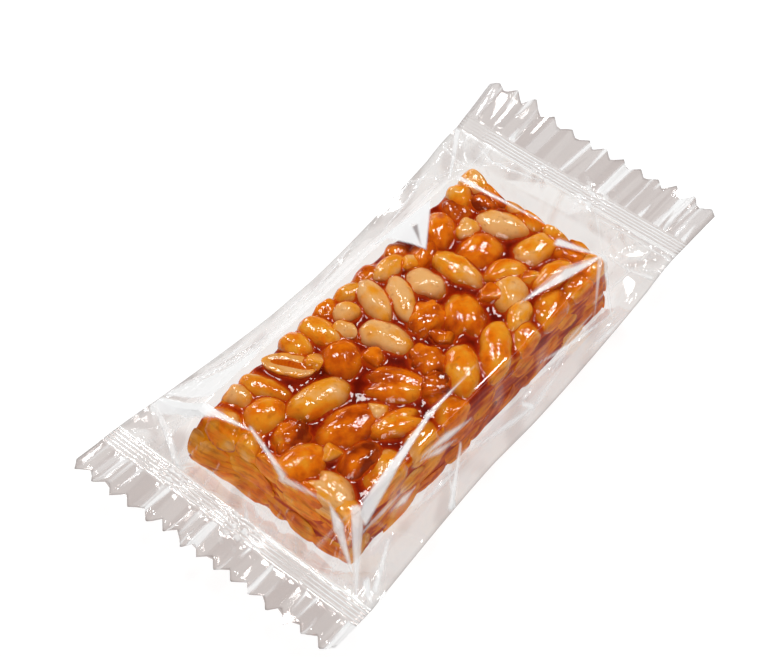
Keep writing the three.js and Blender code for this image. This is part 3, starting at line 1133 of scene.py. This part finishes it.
@dataclass(frozen=True)
class Fan:
    """Creases that spread from one point of the film, such as a corner of the bar, to several others."""

    x: float
    y: float
    ends: tuple[tuple[float, float], ...]
    width: float = 1.5
    rise: float = 0.45
    white: float = 0.3

    def creases(self, rng: np.random.Generator) -> list[Crease]:
        """Crests and valleys in turn, one to each end.

        Args:
            rng: Seeded source of their widths.

        Returns:
            Creases.
        """
        found = []
        for number, (x, y) in enumerate(self.ends):
            wide = self.width * rng.uniform(0.6, 1.3)
            rise = self.rise * rng.uniform(0.7, 1.3) * (1 if number % 2 == 0 else -0.8)
            white = self.white * rng.uniform(0.3, 1.0)
            found.append(Crease(self.x, self.y, x, y, wide, wide * 0.6, rise, white, white, 0.15, True))
        return found


@dataclass
class FilmTube:
    """The film: one tube drawn round the bar, flat at both ends, creased where it is drawn tight.

    Each crumple is a spot of a seal: the seal's side, its place across and its size.
    """

    shape: PackShape
    columns_above: int = 192
    columns_below: int = 48
    step: float = 0.38
    fin_step: float = 0.6
    steps_a_ridge: int = 8
    half_gap: float = 0.06
    ridge_height: float = 0.06
    slack: float = 0.05
    wrinkles: int = 80
    bright_share: float = 0.45
    pleat_lean: float = 0.10
    pleat_widths: tuple[float, float, float] = (3.8, 1.3, 1.6)
    crumple_height: float = 0.2
    crumples: tuple[tuple[int, float, float], ...] = (
        (-1, -2.0, 4.0),
        (-1, 17.2, 2.6),
        (1, -5.8, 5.0),
        (1, 7.4, 2.4),
    )

    def stations(self) -> Array:
        """Places along the pack at which the tube is cut into sections.

        Returns:
            M by 2: the place along X, and how far into a fin it is, -1 for the near and +1 for the far tip.
        """
        s = self.shape
        parts: list[Array] = []

        def run(x0: float, x1: float, step: float, f0: float = 0.0, f1: float = 0.0) -> None:
            """Adds evenly spaced stations from x0 up to x1, without the last one."""
            count = max(2, round(abs(x1 - x0) / step))
            share = np.arange(count) / count
            parts.append(np.stack([x0 + (x1 - x0) * share, f0 + (f1 - f0) * share], axis=1))

        ridge_step = s.near.band / s.near.ridges / self.steps_a_ridge
        parts.append(np.array([[s.near.tip_x, -1.0]]))
        run(s.near.tip_x, s.near.band_end, self.fin_step, -0.98, 0.0)
        run(s.near.band_end, s.near.line_x, ridge_step)
        run(s.near.line_x, s.bar_near, self.step)
        run(s.bar_near, s.bar_far, self.step)
        run(s.bar_far, s.far.line_x, self.step)
        run(s.far.line_x, s.far.band_end, ridge_step)
        run(s.far.band_end, s.far.tip_x, self.fin_step, 0.0, 0.98)
        parts.append(np.array([[s.far.tip_x, 0.98], [s.far.tip_x, 1.0]]))
        return np.vstack(parts)

    def section(self, x: float, above: bool, t: Array) -> tuple[Array, Array]:
        """The tube's section at one station, before any creases.

        Args:
            x: Place along the pack.
            above: The upper sheet or the lower one.
            t: Places across, -1 to 1 from fold to fold.

        Returns:
            Y and Z.
        """
        s = self.shape
        fold_y, fold_z = float(s.fold_y(x)), float(s.fold_z(x))
        half = s.bar_width / 2
        face_z = s.deck if above else 0.0
        inward = -1.0 if above else 1.0
        corner = s.edge_round
        edge_z = face_z + inward * corner
        knots = np.array(
            [
                [0, face_z],
                [half - corner, face_z],
                [half - corner * 0.25, face_z + inward * corner * 0.28],
                [half, edge_z],
                [(half + fold_y) / 2 - s.side_sag * 0.7, (edge_z + fold_z) / 2 + inward * s.side_sag],
                [fold_y, fold_z],
            ]
        )
        reach = np.concatenate([[0], np.cumsum(np.linalg.norm(np.diff(knots, axis=0), axis=1))])
        at = np.abs(t) * reach[-1]
        open_y = np.interp(at, reach, knots[:, 0]) * np.sign(t)
        open_z = np.interp(at, reach, knots[:, 1])
        seal = s.near if x < 0 else s.far
        closing = float(s.closing(np.array(x), 0.0 if above else s.far_lean))
        flat_y = t * float(s.fold_y(np.clip(x, s.near.line_x, s.far.line_x)))
        gap = self.half_gap if above else -self.half_gap
        y = open_y + (flat_y - open_y) * closing
        z = open_z + (seal.height + gap - open_z) * closing
        return y, z

    def creases(self, rng: np.random.Generator) -> list[Crease]:
        """The fold lines of the upper sheet, as the photograph shows them.

        Args:
            rng: Seeded source of the fans' widths.

        Returns:
            Creases.
        """
        # The white on these creases and fans is partly stress whitening and partly a painted highlight; the
        # grey is painted shade.
        main = [
            Crease(-43.8, 7.6, -46.2, 33.0, 4.2, 0.8, 0.6, 0.85, 0.0),
            Crease(-43.5, 8.5, -47.6, -4.0, 0.4, 0.9, 0.25, 0.2, 0.8, 0.5),
            Crease(-47.0, -16.0, -47.9, -4.2, 0.9, 0.4, 0.2, 0.7, 0.0),
            Crease(-47.2, -15.8, -49.4, -20.0, 1.0, 0.9, 0.4, 0.8, 0.8),
            Crease(-53.8, -27.8, -49.4, -20.0, 0.8, 0.9, 0.4, 0.8, 0.8),
            Crease(-2.0, -16.7, -17.7, -17.0, 0.7, 0.4, 0.16, 0.8, 0.2),
            Crease(-17.7, -17.0, -44.9, -21.0, 2.5, 1.0, 0.6, 0.9, 0.0, 0.28),
            Crease(-57.1, -31.1, -44.7, -21.1, 1.4, 1.2, 0.5, 0.8, 0.7),
            Crease(18.7, -13.5, 32.2, -15.8, 1.6, 1.8, 0.5, 0.3, 0.9),
            Crease(41.0, -19.1, 32.2, -15.8, 1.8, 1.5, 0.5, 0.9, 0.3, 0.2),
            Crease(41.3, -19.4, 38.9, -9.5, 1.7, 1.0, 0.4, 0.9, 0.1),
            Crease(41.0, -3.1, 39.9, 19.5, 1.0, 0.4, 0.3, 0.9, 0.0, 0.2),
            Crease(-23.1, 24.6, -44.0, 33.0, 1.3, 1.6, 0.4, 0.8, 0.2),
            Crease(-26.5, 22.7, 11.2, 29.4, 0.5, 0.9, 0.25, 0.7, 0.0, 0.3, grey=0.7),
            Crease(-45.8, 33.6, -23.7, 26.6, 0.5, 0.9, 0.25, 0.6, 0.0, 0.3, grey=0.8),
            Crease(12.0, 30.0, -6.0, 27.0, 0.9, 0.5, 0.25, 0.5, 0.0, 0.3, grey=0.6),
            Crease(-48.3, 33.8, -56.9, 18.0, 0.6, 0.6, 0.35, 0.9, 0.2, 0.5),
            Crease(-49.0, 31.5, -52.6, 24.6, 0.5, 0.8, 0.35, 0.8, 0.0, 0.5, grey=0.8),
            Crease(-52.6, 24.6, -56.9, 18.0, 0.5, 0.8, 0.35, 0.8, 0.0, 0.5, grey=0.8),
            Crease(51.9, -9.4, 52.4, -31.0, 0.5, 0.9, 0.3, 0.9, 0.0, 0.5, grey=1.0),
            Crease(50.6, -12.0, 50.9, -30.6, 0.4, 0.5, 0.2, 0.8, 0.0, 0.5),
            Crease(51.4, 23.2, 48.5, 18.0, 0.7, 0.6, 0.3, 0.9, 0.0, 0.3),
            Crease(51.6, 6.0, 48.5, 18.0, 0.6, 0.8, 0.3, 0.2, 0.9, 0.3),
            Crease(29.7, -31.4, 40.5, -19.8, 1.1, 1.0, 0.35, 0.1, 0.8),
            Crease(28.6, -26.8, 40.5, -19.8, 0.9, 0.8, 0.3, 0.5, 0.0),
            Crease(42.0, -21.0, 44.6, -30.0, 0.9, 0.7, 0.3, 0.6, 0.0, 0.2, grey=0.4),
            Crease(39.6, 22.4, 54.2, 30.8, 1.4, 1.0, 0.4, 0.9, 0.1, 0.3),
            Crease(-16.6, -25.3, -27.3, -31.9, 0.7, 0.9, 0.35, 0.0, 0.9, 0.3),
            Crease(-22.6, -26.8, -27.3, -31.9, 0.6, 0.9, 0.3, 0.9, 0.0, 0.3, grey=0.6),
            Crease(-43.8, -28.4, -52.8, -33.0, 1.0, 1.0, 0.35, 0.2, 0.9, 0.4),
            Crease(-47.8, 34.1, -57.2, 17.5, 1.2, 0.8, 0.35, 0.4, 0.1),
        ]
        fans = [
            Fan(-47.5, 22.5, ((-57.0, 32.0), (-57.0, 28.0), (-57.0, 24.0))),
            Fan(-45.5, -21.0, ((-57.0, -17.0), (-57.0, -24.0), (-50.0, -34.0), (-38.0, -32.0))),
            Fan(41.3, -19.5, ((53, -31), (53, -25), (53, -17), (53, -9), (47, -30.5)), 0.9, 0.25, 0.8),
            Fan(44.0, 20.5, ((53, 30), (53, 22), (53, 13), (47, 30), (35, 30.5)), 1.1, 0.4, 0.7),
            Fan(-57.2, 17.5, ((-50.5, 30.0), (-51.0, 25.5)), 1.0, 0.25),
        ]
        for fan in fans:
            main += fan.creases(rng)
        return main

    @staticmethod
    def panels() -> list[Panel]:
        """The large facets of the upper sheet, as the photograph shows them.

        Returns:
            Facets, later ones over earlier ones.
        """
        # Painted highlights in the white and painted shade in the grey, facet by facet.
        return [
            Panel(((-26, 22.8), (-11.8, 27), (6.5, 27.4), (15, 25.5), (13, 21.4), (-25, 21.4)), 0.2),
            Panel(((-24.0, 23.7), (-29.0, 21.2), (-42.3, 21.0), (-44.5, 33.4), (-29.8, 24.4)), 0.75),
            Panel(
                ((-46.6, 33.4), (-45.2, 28.7), (-46.2, 21.6), (-46.4, 16.6), (-48.1, 19.5), (-48.9, 23.2)),
                0.95,
            ),
            Panel(((13.2, 23.8), (30.0, 20.6), (17.7, 12.0), (16.9, 15.5)), 0.95),
            Panel(((22.4, 18.4), (21.4, 19.4), (17.9, 13.6)), 0.35),
            Panel(((-56.8, 34.6), (-49.0, 33.9), (-51.6, 30.1), (-54.3, 25.8), (-54.2, 29.5)), grey=0.9),
            Panel(((-48.3, 33.5), (-52.3, 24.9), (-56.6, 18.6), (-54.1, 21.5), (-51.0, 27.0)), 0.4),
            Panel(((1.4, -27.6), (3.3, -29.6), (3.7, -28.9), (2.2, -27.3)), 0.8),
            Panel(((-51.9, -30.0), (-55.8, -34.2), (-55.2, -31.8), (-53.4, -29.8)), 0.9),
            Panel(((44.5, -24.0), (51.0, -28.5), (50.6, -29.4), (44.0, -25.2)), grey=0.9),
            Panel(((46.0, 12.0), (52.0, 4.0), (52.0, -8.0), (47.0, -6.0)), 0.2),
        ]

    def small_creases(self, above: bool, rng: np.random.Generator) -> list[Crease]:
        """Seeded wrinkles: long ones down the side slopes, short ones up from each seal.

        Args:
            above: The upper sheet or the lower one.
            rng: Seeded source.

        Returns:
            Creases.
        """
        s = self.shape
        found = []
        for _ in range(self.wrinkles):
            side = rng.choice([-1, 1])
            x, y = rng.uniform(s.near.line_x + 4, s.far.line_x - 4), side * rng.uniform(22.0, 30.5)
            long = rng.uniform(6, 22) * rng.choice([-1, 1])
            wide = rng.uniform(0.2, 0.6)
            rise = wide * rng.uniform(0.12, 0.25) * rng.choice([-1, 1])
            # Bright wrinkles get painted white, partly stress whitening and partly a painted highlight; the
            # others get painted grey shade.
            bright = above and rng.uniform() < self.bright_share
            white, grey = (rng.uniform(0.4, 0.9), 0.0) if bright else (0.0, rng.uniform(0.0, 0.8) * above)
            slope = rng.uniform(-0.2, 0.2)
            middle, other_end = (x + long / 2, y + long / 2 * slope), (x + long, y + long * slope)
            for end, left, right in (((x, y), wide * 0.6, wide), (other_end, wide, wide * 0.6)):
                found.append(Crease(*end, *middle, left, right, rise, white, white, grey=grey))
        for seal in (s.near, s.far):
            y = -seal.half_width + 2
            while y < seal.half_width - 2:
                tip_x = seal.line_x - seal.outward * rng.uniform(2.5, 8.0)
                wide = rng.uniform(0.5, 1.3)
                rise = wide * rng.uniform(0.15, 0.32) * rng.choice([-1, 1])
                tip_y = y * rng.uniform(0.84, 0.98)
                # Painted white and painted grey shade on the short creases up from each seal.
                white, grey = rng.uniform(0, 0.7), rng.uniform(0, 0.8) * above
                drawn = Crease(tip_x, tip_y, seal.line_x, y, wide, wide, rise, white, crest=True, grey=grey)
                found.append(drawn)
                y += rng.uniform(1.6, 4.2)
        return found

    def relief(self, x: Array, y: Array, above: bool) -> tuple[Array, Array, Array]:
        """How far the film stands out from its drawn-tight form, and the white and grey painted on it.

        Args:
            x: Places along the pack.
            y: Places across it.
            above: The upper sheet or the lower one.

        Returns:
            Heights in millimetres, white of 0 to 1 (partly stress whitening, partly a painted highlight), and
            painted grey shade of 0 to 1.
        """
        rng = np.random.default_rng(SEED + (2 if above else 3))
        every = (self.creases(rng) if above else []) + self.small_creases(above, rng)
        total, strain_and_highlight = np.zeros_like(x), np.zeros_like(x)
        beside = smoothstep(21.5, 24.0, np.abs(y))
        loose = np.maximum(beside, smoothstep(47.5, 50.0, np.abs(x + 2.5)))
        # Painted grey shade on the loose film beside and beyond the bar and in clouds on the upper sheet;
        # painted white patches on its side slopes, a painted highlight.
        shade = 0.35 * loose
        if above:
            flat = np.stack([x, y * 1.6, np.zeros_like(x)], axis=-1).reshape(-1, 3)
            cloud = waves(flat, rng, 9.0, 9).reshape(x.shape)
            shade = (0.35 + 0.5 * smoothstep(0.0, 1.2, cloud)) * loose
            strain_and_highlight = 0.15 * smoothstep(0.3, 1.3, -cloud) * beside
        for crease in every:
            height, white, grey = crease.raise_on(x, y)
            total += height
            strain_and_highlight = np.maximum(strain_and_highlight, white)
            shade = np.maximum(shade, grey)
        for panel in self.panels() if above else []:
            panel.paint(x, y, strain_and_highlight, shade)
        return total, strain_and_highlight, shade

    def pleats(self, y: Array, out: Array, seal: Seal, rng: np.random.Generator) -> Array:
        """Uneven pleats of a fin: facets of random width, finer ones over them, and a curl in each tooth.

        Args:
            y: Places across.
            out: Distance outward from the seal's line.
            seal: Which seal.
            rng: Seeded source of the spacing.

        Returns:
            Heights in millimetres.
        """

        def profile(at: Array, widest: float, slopes: tuple[float, ...]) -> Array:
            """Crests and valleys in turn, each rise with one of the slopes."""
            knots, heights = [-seal.half_width - 8.0], [0.0]
            while knots[-1] < seal.half_width + 8.0:
                up, down = rng.uniform(0.35, 1.0) * widest, rng.uniform(0.15, 0.7) * widest
                rise = up * float(rng.choice(slopes))
                knots += [knots[-1] + up, knots[-1] + up + down]
                heights += [heights[-1] + rise, heights[-1] * 0.8]
            return np.interp(at, knots, heights) - np.mean(heights)

        line = np.stack([np.zeros(y.size), y.ravel(), np.zeros(y.size)], axis=-1)
        at = y + self.pleat_lean * waves(line, rng, 11.0).reshape(y.shape) * out
        widest, fine_inside, fine_outside = self.pleat_widths
        coarse = profile(at, widest, (0.04, 0.08, 0.12, 0.22, 0.42))
        inner = profile(at, fine_inside, (0.0, 0.03, 0.06))
        outer = profile(at, fine_outside, (0.0, 0.04, 0.08))
        share = smoothstep(-0.6, 0.6, waves(line, rng, 7.0).reshape(y.shape) + (out - 9.0) / 4.0)
        turn = (y + seal.half_width) / (2 * seal.half_width) * seal.teeth
        curl = rng.uniform(-0.4, 0.45, seal.teeth)[np.clip(turn.astype(int), 0, seal.teeth - 1)]
        reach = abs(seal.tip_x - seal.line_x) - seal.tooth_depth
        return coarse + inner * (1 - share) + outer * share + curl * (out - reach).clip(0)

    def sheet(self, above: bool) -> tuple[Array, Array, Array]:
        """Points of one sheet.

        Args:
            above: The upper sheet or the lower one.

        Returns:
            Stations by columns by 3, and the white (partly stress whitening, partly a painted highlight) and
            the painted grey shade of each point.
        """
        s = self.shape
        columns = self.columns_above if above else self.columns_below
        t = np.linspace(-1, 1, columns + 1)
        places = self.stations()
        grid = np.zeros((len(places), len(t), 3))
        for k, (x, fin) in enumerate(places):
            y, z = self.section(float(x), above, t)
            seal = s.near if x < 0 else s.far
            grid[k, :, 0] = x
            if fin != 0:
                grid[k, :, 0] = seal.band_end + (seal.edge_x(y) - seal.band_end) * abs(fin)
            grid[k, :, 1] = y
            grid[k, :, 2] = z
        along = np.gradient(grid, axis=0)
        across = np.gradient(grid, axis=1)
        normal = np.cross(along, across)
        normal /= np.linalg.norm(normal, axis=-1, keepdims=True) + 1e-12
        if not above:
            normal = -normal
        x = grid[..., 0]
        free = smoothstep(0, 1.2, x - s.near.line_x) * smoothstep(0, 1.2, s.far.line_x - x)
        free = free * smoothstep(0, 0.05, 1 - np.abs(t))[None]
        height, strain_and_highlight, shade = self.relief(x, grid[..., 1], above)
        sway = waves(grid.reshape(-1, 3), np.random.default_rng(SEED + 9), 8.0).reshape(x.shape)
        height += self.slack * sway
        grid += normal * (height * free)[..., None]
        strain_and_highlight *= free > 0.01
        shade *= free > 0.01
        self.mark_seals(x, grid[..., 1], strain_and_highlight, shade, above)
        self.press(grid)
        return grid, strain_and_highlight, shade

    @staticmethod
    def fin_panels(seal: Seal, rng: np.random.Generator) -> list[Panel]:
        """Facets of a fin: long ones side by side from the band to the cut edge, and narrow ones over them.

        Args:
            seal: Which seal.
            rng: Seeded source of their widths and shades.

        Returns:
            Facets, later ones over earlier ones.
        """
        root, tip = seal.band_end, seal.tip_x + seal.outward
        long, tapered = [], []
        y = -seal.half_width - 2.0
        lean = 0.0
        while y < seal.half_width + 2.0:
            wide = float(rng.uniform(0.5, 3.4))
            next_lean = float(rng.uniform(-0.8, 0.8))
            # Each facet gets painted white, a painted highlight, and painted grey shade.
            white = float(rng.choice([0.0, 0.0, 0.0, 0.0, 0.0, 0.25, 0.9, 1.0]))
            wide *= 1.0 - 0.6 * white
            corners = ((root, y), (root, y + wide), (tip, y + wide + next_lean), (tip, y + lean))
            long.append(Panel(corners, white, float(rng.uniform(0.55, 1.0))))
            y, lean = y + wide, next_lean
        for _ in range(2 * seal.teeth):
            at, wide = float(rng.uniform(-1, 1)) * seal.half_width, float(rng.uniform(0.3, 1.3))
            start, end = (root, tip) if rng.uniform() < 0.5 else (tip, root)
            stop = start + (end - start) * float(rng.uniform(0.3, 0.95))
            white = float(rng.choice([0.0, 0.6, 1.0]))
            corners = ((start, at), (start, at + wide), (stop, at + wide / 2 + float(rng.uniform(-0.8, 0.8))))
            tapered.append(Panel(corners, white, 1.0 - white))
        return long + tapered

    def mark_seals(self, x: Array, y: Array, strain_and_highlight: Array, shade: Array, above: bool) -> None:
        """Paints white highlights and grey shade on the bands' ridges and the fins' facets.

        Args:
            x: Places along the pack.
            y: Places across it.
            strain_and_highlight: White, partly stress whitening and partly a painted highlight, changed in
                place.
            shade: Painted grey shade, changed in place.
            above: The upper sheet or the lower one.
        """
        line = np.stack([np.zeros(y.size), y.ravel(), np.zeros(y.size)], axis=-1)
        for number, seal in enumerate((self.shape.near, self.shape.far)):
            rng = np.random.default_rng(SEED + 40 + number)
            out = (x - seal.line_x) * seal.outward
            share = (out / seal.band * seal.ridges) % 1.0
            # Painted highlight white on the band's crests, stronger and weaker along the band; painted grey
            # shade in its valleys and over the fins.
            highlight_strength = 0.6 + 0.4 * waves(line, rng, 12.0).reshape(y.shape)
            crest = smoothstep(0.05, 0.2, share) * smoothstep(-0.55, -0.4, -share)
            valley = smoothstep(0.6, 0.7, share) * smoothstep(-0.95, -0.8, -share)
            band, fin = (out > 0) & (out <= seal.band), out > seal.band
            shade[band] = (0.5 + 0.5 * valley * above)[band]
            shade[fin] = 0.8
            if above:
                strain_and_highlight[band] = (0.8 * crest * highlight_strength)[band].clip(0, 1)
                white, grey = strain_and_highlight[fin], shade[fin]
                for panel in self.fin_panels(seal, rng):
                    panel.paint(x[fin], y[fin], white, grey)
                strain_and_highlight[fin], shade[fin] = white, grey
                # Painted highlight white on the crumpled spots.
                for share, crumple in self.crumpled(x, y, seal):
                    strain_and_highlight[...] = np.maximum(strain_and_highlight, share * smoothstep(0.2, 0.9, crumple))

    def crumpled(self, x: Array, y: Array, seal: Seal) -> list[tuple[Array, Array]]:
        """Where a seal is crumpled: over the back seal, and where a fold runs into it.

        Args:
            x: Places along the pack.
            y: Places across it.
            seal: Which seal.

        Returns:
            For each such spot, how near every place is to it, 0 to 1, and its relief.
        """
        found = []
        flat = np.stack([x, y, np.zeros_like(x)], axis=-1).reshape(-1, 3)
        for number, (outward, middle, size) in enumerate(self.crumples):
            if outward == seal.outward:
                away = np.hypot(x - seal.line_x - outward * 1.8, y - middle) / size
                relief = waves(flat, np.random.default_rng(SEED + 60 + number), 1.9).reshape(x.shape)
                found.append((np.exp(-(away**2)), relief))
        return found

    def press(self, grid: Array) -> None:
        """Presses the bands' ridges and the fins' pleats, alike in both sheets, and flares the left corners.

        Args:
            grid: Points of a sheet, changed in place.
        """
        x, y = grid[..., 0].copy(), grid[..., 1].copy()
        for number, seal in enumerate((self.shape.near, self.shape.far)):
            rng = np.random.default_rng(SEED + 20 + number)
            out = (x - seal.line_x) * seal.outward
            inside = (out > 0.01) & (out <= seal.band + 0.01)
            ridge = np.where(inside, -np.cos(out / seal.band * seal.ridges * 2 * math.pi), 0.0)
            grid[..., 2] += ridge * self.ridge_height / 2
            past_band = smoothstep(seal.band - 0.3, seal.band + 1.8, out)
            grown = 0.15 * smoothstep(0.0, 1.0, out) + 0.85 * past_band
            grid[..., 2] += grown * self.pleats(y, out, seal, rng)
            corner = smoothstep(0.2, 1.0, y / seal.half_width) * out.clip(0) / abs(seal.tip_x - seal.line_x)
            for axis, size in enumerate(seal.flare):
                grid[..., axis] += size * corner
            for share, relief in self.crumpled(x, y, seal):
                grid[..., 2] += self.crumple_height * share * relief

    def build(self, material: bpy.types.Material) -> bpy.types.Object:
        """Joins the two sheets along the folds and the cut edges.

        Args:
            material: The film.

        Returns:
            One closed piece.
        """
        top, top_strain_and_highlight, top_shade = self.sheet(True)
        low, low_strain_and_highlight, low_shade = self.sheet(False)
        low[:, 0] = top[:, 0]
        low[:, -1] = top[:, -1]
        rows, cols = top.shape[:2]
        low_cols = low.shape[1]
        points = np.vstack([top.reshape(-1, 3), low[:, 1:-1].reshape(-1, 3)])

        def upper(i: Array, j: Array) -> Array:
            """Vertex number on the upper sheet."""
            return i * cols + j

        def lower(i: Array, j: Array) -> Array:
            """Vertex number on the lower sheet, whose outer columns are the upper one's."""
            inner = rows * cols + i * (low_cols - 2) + j - 1
            return np.where(j == 0, upper(i, 0), np.where(j == low_cols - 1, upper(i, cols - 1), inner))

        i, j = np.meshgrid(np.arange(rows - 1), np.arange(cols - 1), indexing="ij")
        over = np.stack([upper(i, j), upper(i + 1, j), upper(i + 1, j + 1), upper(i, j + 1)], axis=-1)
        i, j = np.meshgrid(np.arange(rows - 1), np.arange(low_cols - 1), indexing="ij")
        under = np.stack([lower(i, j), lower(i, j + 1), lower(i + 1, j + 1), lower(i + 1, j)], axis=-1)
        faces = over.reshape(-1, 4).tolist() + under.reshape(-1, 4).tolist()
        ratio = (cols - 1) // (low_cols - 1)
        for row, flip in ((0, False), (rows - 1, True)):
            for k in range(low_cols - 1):
                a, b = int(lower(np.array(row), np.array(k))), int(lower(np.array(row), np.array(k + 1)))
                first = upper(row, k * ratio)
                for step in range(ratio):
                    tip = a if step < ratio / 2 else b
                    if tip not in (first + step, first + step + 1):
                        tri = (first + step, first + step + 1, tip)
                        faces.append(tri[::-1] if flip else tri)
                middle = first + (ratio + 1) // 2
                if len({middle, a, b}) == 3:
                    tri = (middle, b, a)
                    faces.append(tri[::-1] if flip else tri)
        film = make_mesh("film", points, faces, material)
        film.data.shade_flat()
        # A darker painted line of shade along the side folds and the cut edges.
        rim = np.zeros((rows, cols))
        rim[:, [0, -1]] = 0.45
        rim[[0, -1]] = 0.75
        rim[[1, -2]] = 0.3
        # Stores the painted grey shade, the white and the edge shade for the film's finish.
        for mark, over, under in (
            ("crimp", top_shade, low_shade),
            ("stress", top_strain_and_highlight, low_strain_and_highlight),
            ("edge", rim, np.zeros((rows, low_cols))),
        ):
            paint(film, mark, np.concatenate([over.ravel(), under[:, 1:-1].ravel()]).clip(0, 1))
        return film


# ---------------------------------------------------------------- studio


@dataclass(frozen=True)
class Softbox:
    """A lamp with a rectangular face that points at the pack."""

    name: str
    toward: tuple[float, float, float]
    width: float
    height: float
    radiance: float
    distance: float = 1.2


@dataclass
class Studio:
    """The floor, the lamps, the grey room and the camera at the photograph's angle."""

    azimuth: float = -50.19
    elevation: float = 51.28
    distance: float = 419.95
    target: tuple[float, float, float] = (2.94, 10.60, 6.0)
    lens: float = 86.72
    room: str = "#3C3C3C"
    dark_cone: tuple[float, float] = (46.0, 24.0)
    dark_wall: float = 0.03
    floor_glow: float = 0.86
    floor_half: float = 3000.0
    floor_drop: float = 0.05
    softboxes: tuple[Softbox, ...] = (
        Softbox("softbox_right", (0.47, -0.03, 0.88), 0.38, 0.22, 23.8),
        Softbox("softbox_left", (0.07, 0.42, 0.90), 0.20, 0.36, 23.8),
        Softbox("softbox_back", (0.30, 0.89, 0.32), 0.30, 0.20, 11.0),
        Softbox("softbox_front", (-0.75, -0.52, 0.36), 0.70, 0.35, 6.0),
    )

    def back(self) -> Vector:
        """Unit vector from the target to the camera."""
        a, e = math.radians(self.azimuth), math.radians(self.elevation)
        return Vector((math.sin(a) * math.cos(e), -math.cos(a) * math.cos(e), math.sin(e)))

    def camera(self) -> None:
        """Sets the camera where the photograph was taken from."""
        data = bpy.data.cameras.new("camera")
        data.sensor_width = 36.0
        data.lens = self.lens
        data.clip_start = 0.01
        data.clip_end = 20.0
        camera = link("camera", data)
        camera.location = (Vector(self.target) + self.back() * self.distance) * MM
        camera.rotation_mode = "QUATERNION"
        camera.rotation_quaternion = (-self.back()).to_track_quat("-Z", "Y")
        bpy.context.scene.camera = camera

    def lamps(self) -> None:
        """Hangs the softboxes."""
        for box in self.softboxes:
            data = bpy.data.lights.new(box.name, "AREA")
            data.shape = "RECTANGLE"
            data.size = box.width
            data.size_y = box.height
            data.energy = box.radiance * math.pi * box.width * box.height
            lamp = link(box.name, data)
            way = Vector(box.toward).normalized()
            lamp.location = way * box.distance
            lamp.rotation_mode = "QUATERNION"
            side = Vector((0, 1, 0)).cross(way).normalized()
            up = way.cross(side)
            lamp.rotation_quaternion = Matrix((side, up, way)).transposed().to_quaternion()

    def surroundings(self) -> None:
        """A grey room with a dark far wall, which the film over the bar mirrors, so that it looks clear.

        The wall turns dark between the two angles of dark_cone, in degrees from the mirrored view.
        """
        room = Nodes(bpy.data.worlds.new("room"))
        mirrored = Vector((-self.back().x, -self.back().y, self.back().z))
        toward = room.add("TexCoord").outputs["Generated"]
        share = room.add("VectorMath", {"operation": "DOT_PRODUCT"}, i0=toward, i1=mirrored).outputs["Value"]
        outer, inner = (math.cos(math.radians(angle)) for angle in self.dark_cone)
        soft = {"interpolation_type": "SMOOTHSTEP"}
        ramp = room.add("MapRange", soft, Value=share, i1=outer, i2=inner, i3=1.0, i4=self.dark_wall)
        light = room.add("Background", Color=linear(self.room), Strength=ramp.outputs["Result"])
        room.add("OutputWorld", Surface=light.outputs[0])
        bpy.context.scene.world = room.owner

    def floor(self) -> None:
        """Lays a plain white floor just under the pack."""
        f = Finish("White acrylic light table")
        shader = f.add(
            "BsdfPrincipled", Base_Color=(0.25, 0.25, 0.25, 1), Roughness=0.8, IOR=1.1,
            Emission_Color=(1, 1, 1, 1), Emission_Strength=self.floor_glow,
        )
        signs = ((-1, -1), (1, -1), (1, 1), (-1, 1))
        corners = np.array([[x * self.floor_half, y * self.floor_half, -self.floor_drop] for x, y in signs])
        sheet = make_mesh("floor", corners, [(0, 1, 2, 3)], f.done(shader.outputs[0]))

    def build(self) -> None:
        """Sets up the whole studio."""
        self.camera()
        self.lamps()
        self.surroundings()
        self.floor()
        bpy.context.scene.view_settings.view_transform = "Standard"
        bpy.context.scene.cycles.transparent_max_bounces = 16


# ---------------------------------------------------------------- main


def write_sizes() -> None:
    """Updates the view layer."""
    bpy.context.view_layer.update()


def main() -> None:
    """Builds the pack in order and sets the studio round it."""
    logging.basicConfig(level=logging.INFO, format="%(name)s: %(message)s")
    shape = PackShape()
    kernels, points, faces = KernelBed(shape).build(RoastedKernel().make())
    for piece in kernels:
        place(piece, NODE)
    caramel = CaramelBody(shape).build(points, faces, BoiledSugar().make())
    place(caramel, NODE)
    film = FilmTube(shape).build(ClearFilm().make())
    place(film, NODE)
    Studio().build()
    write_sizes()


if __name__ == "__main__":
    main()
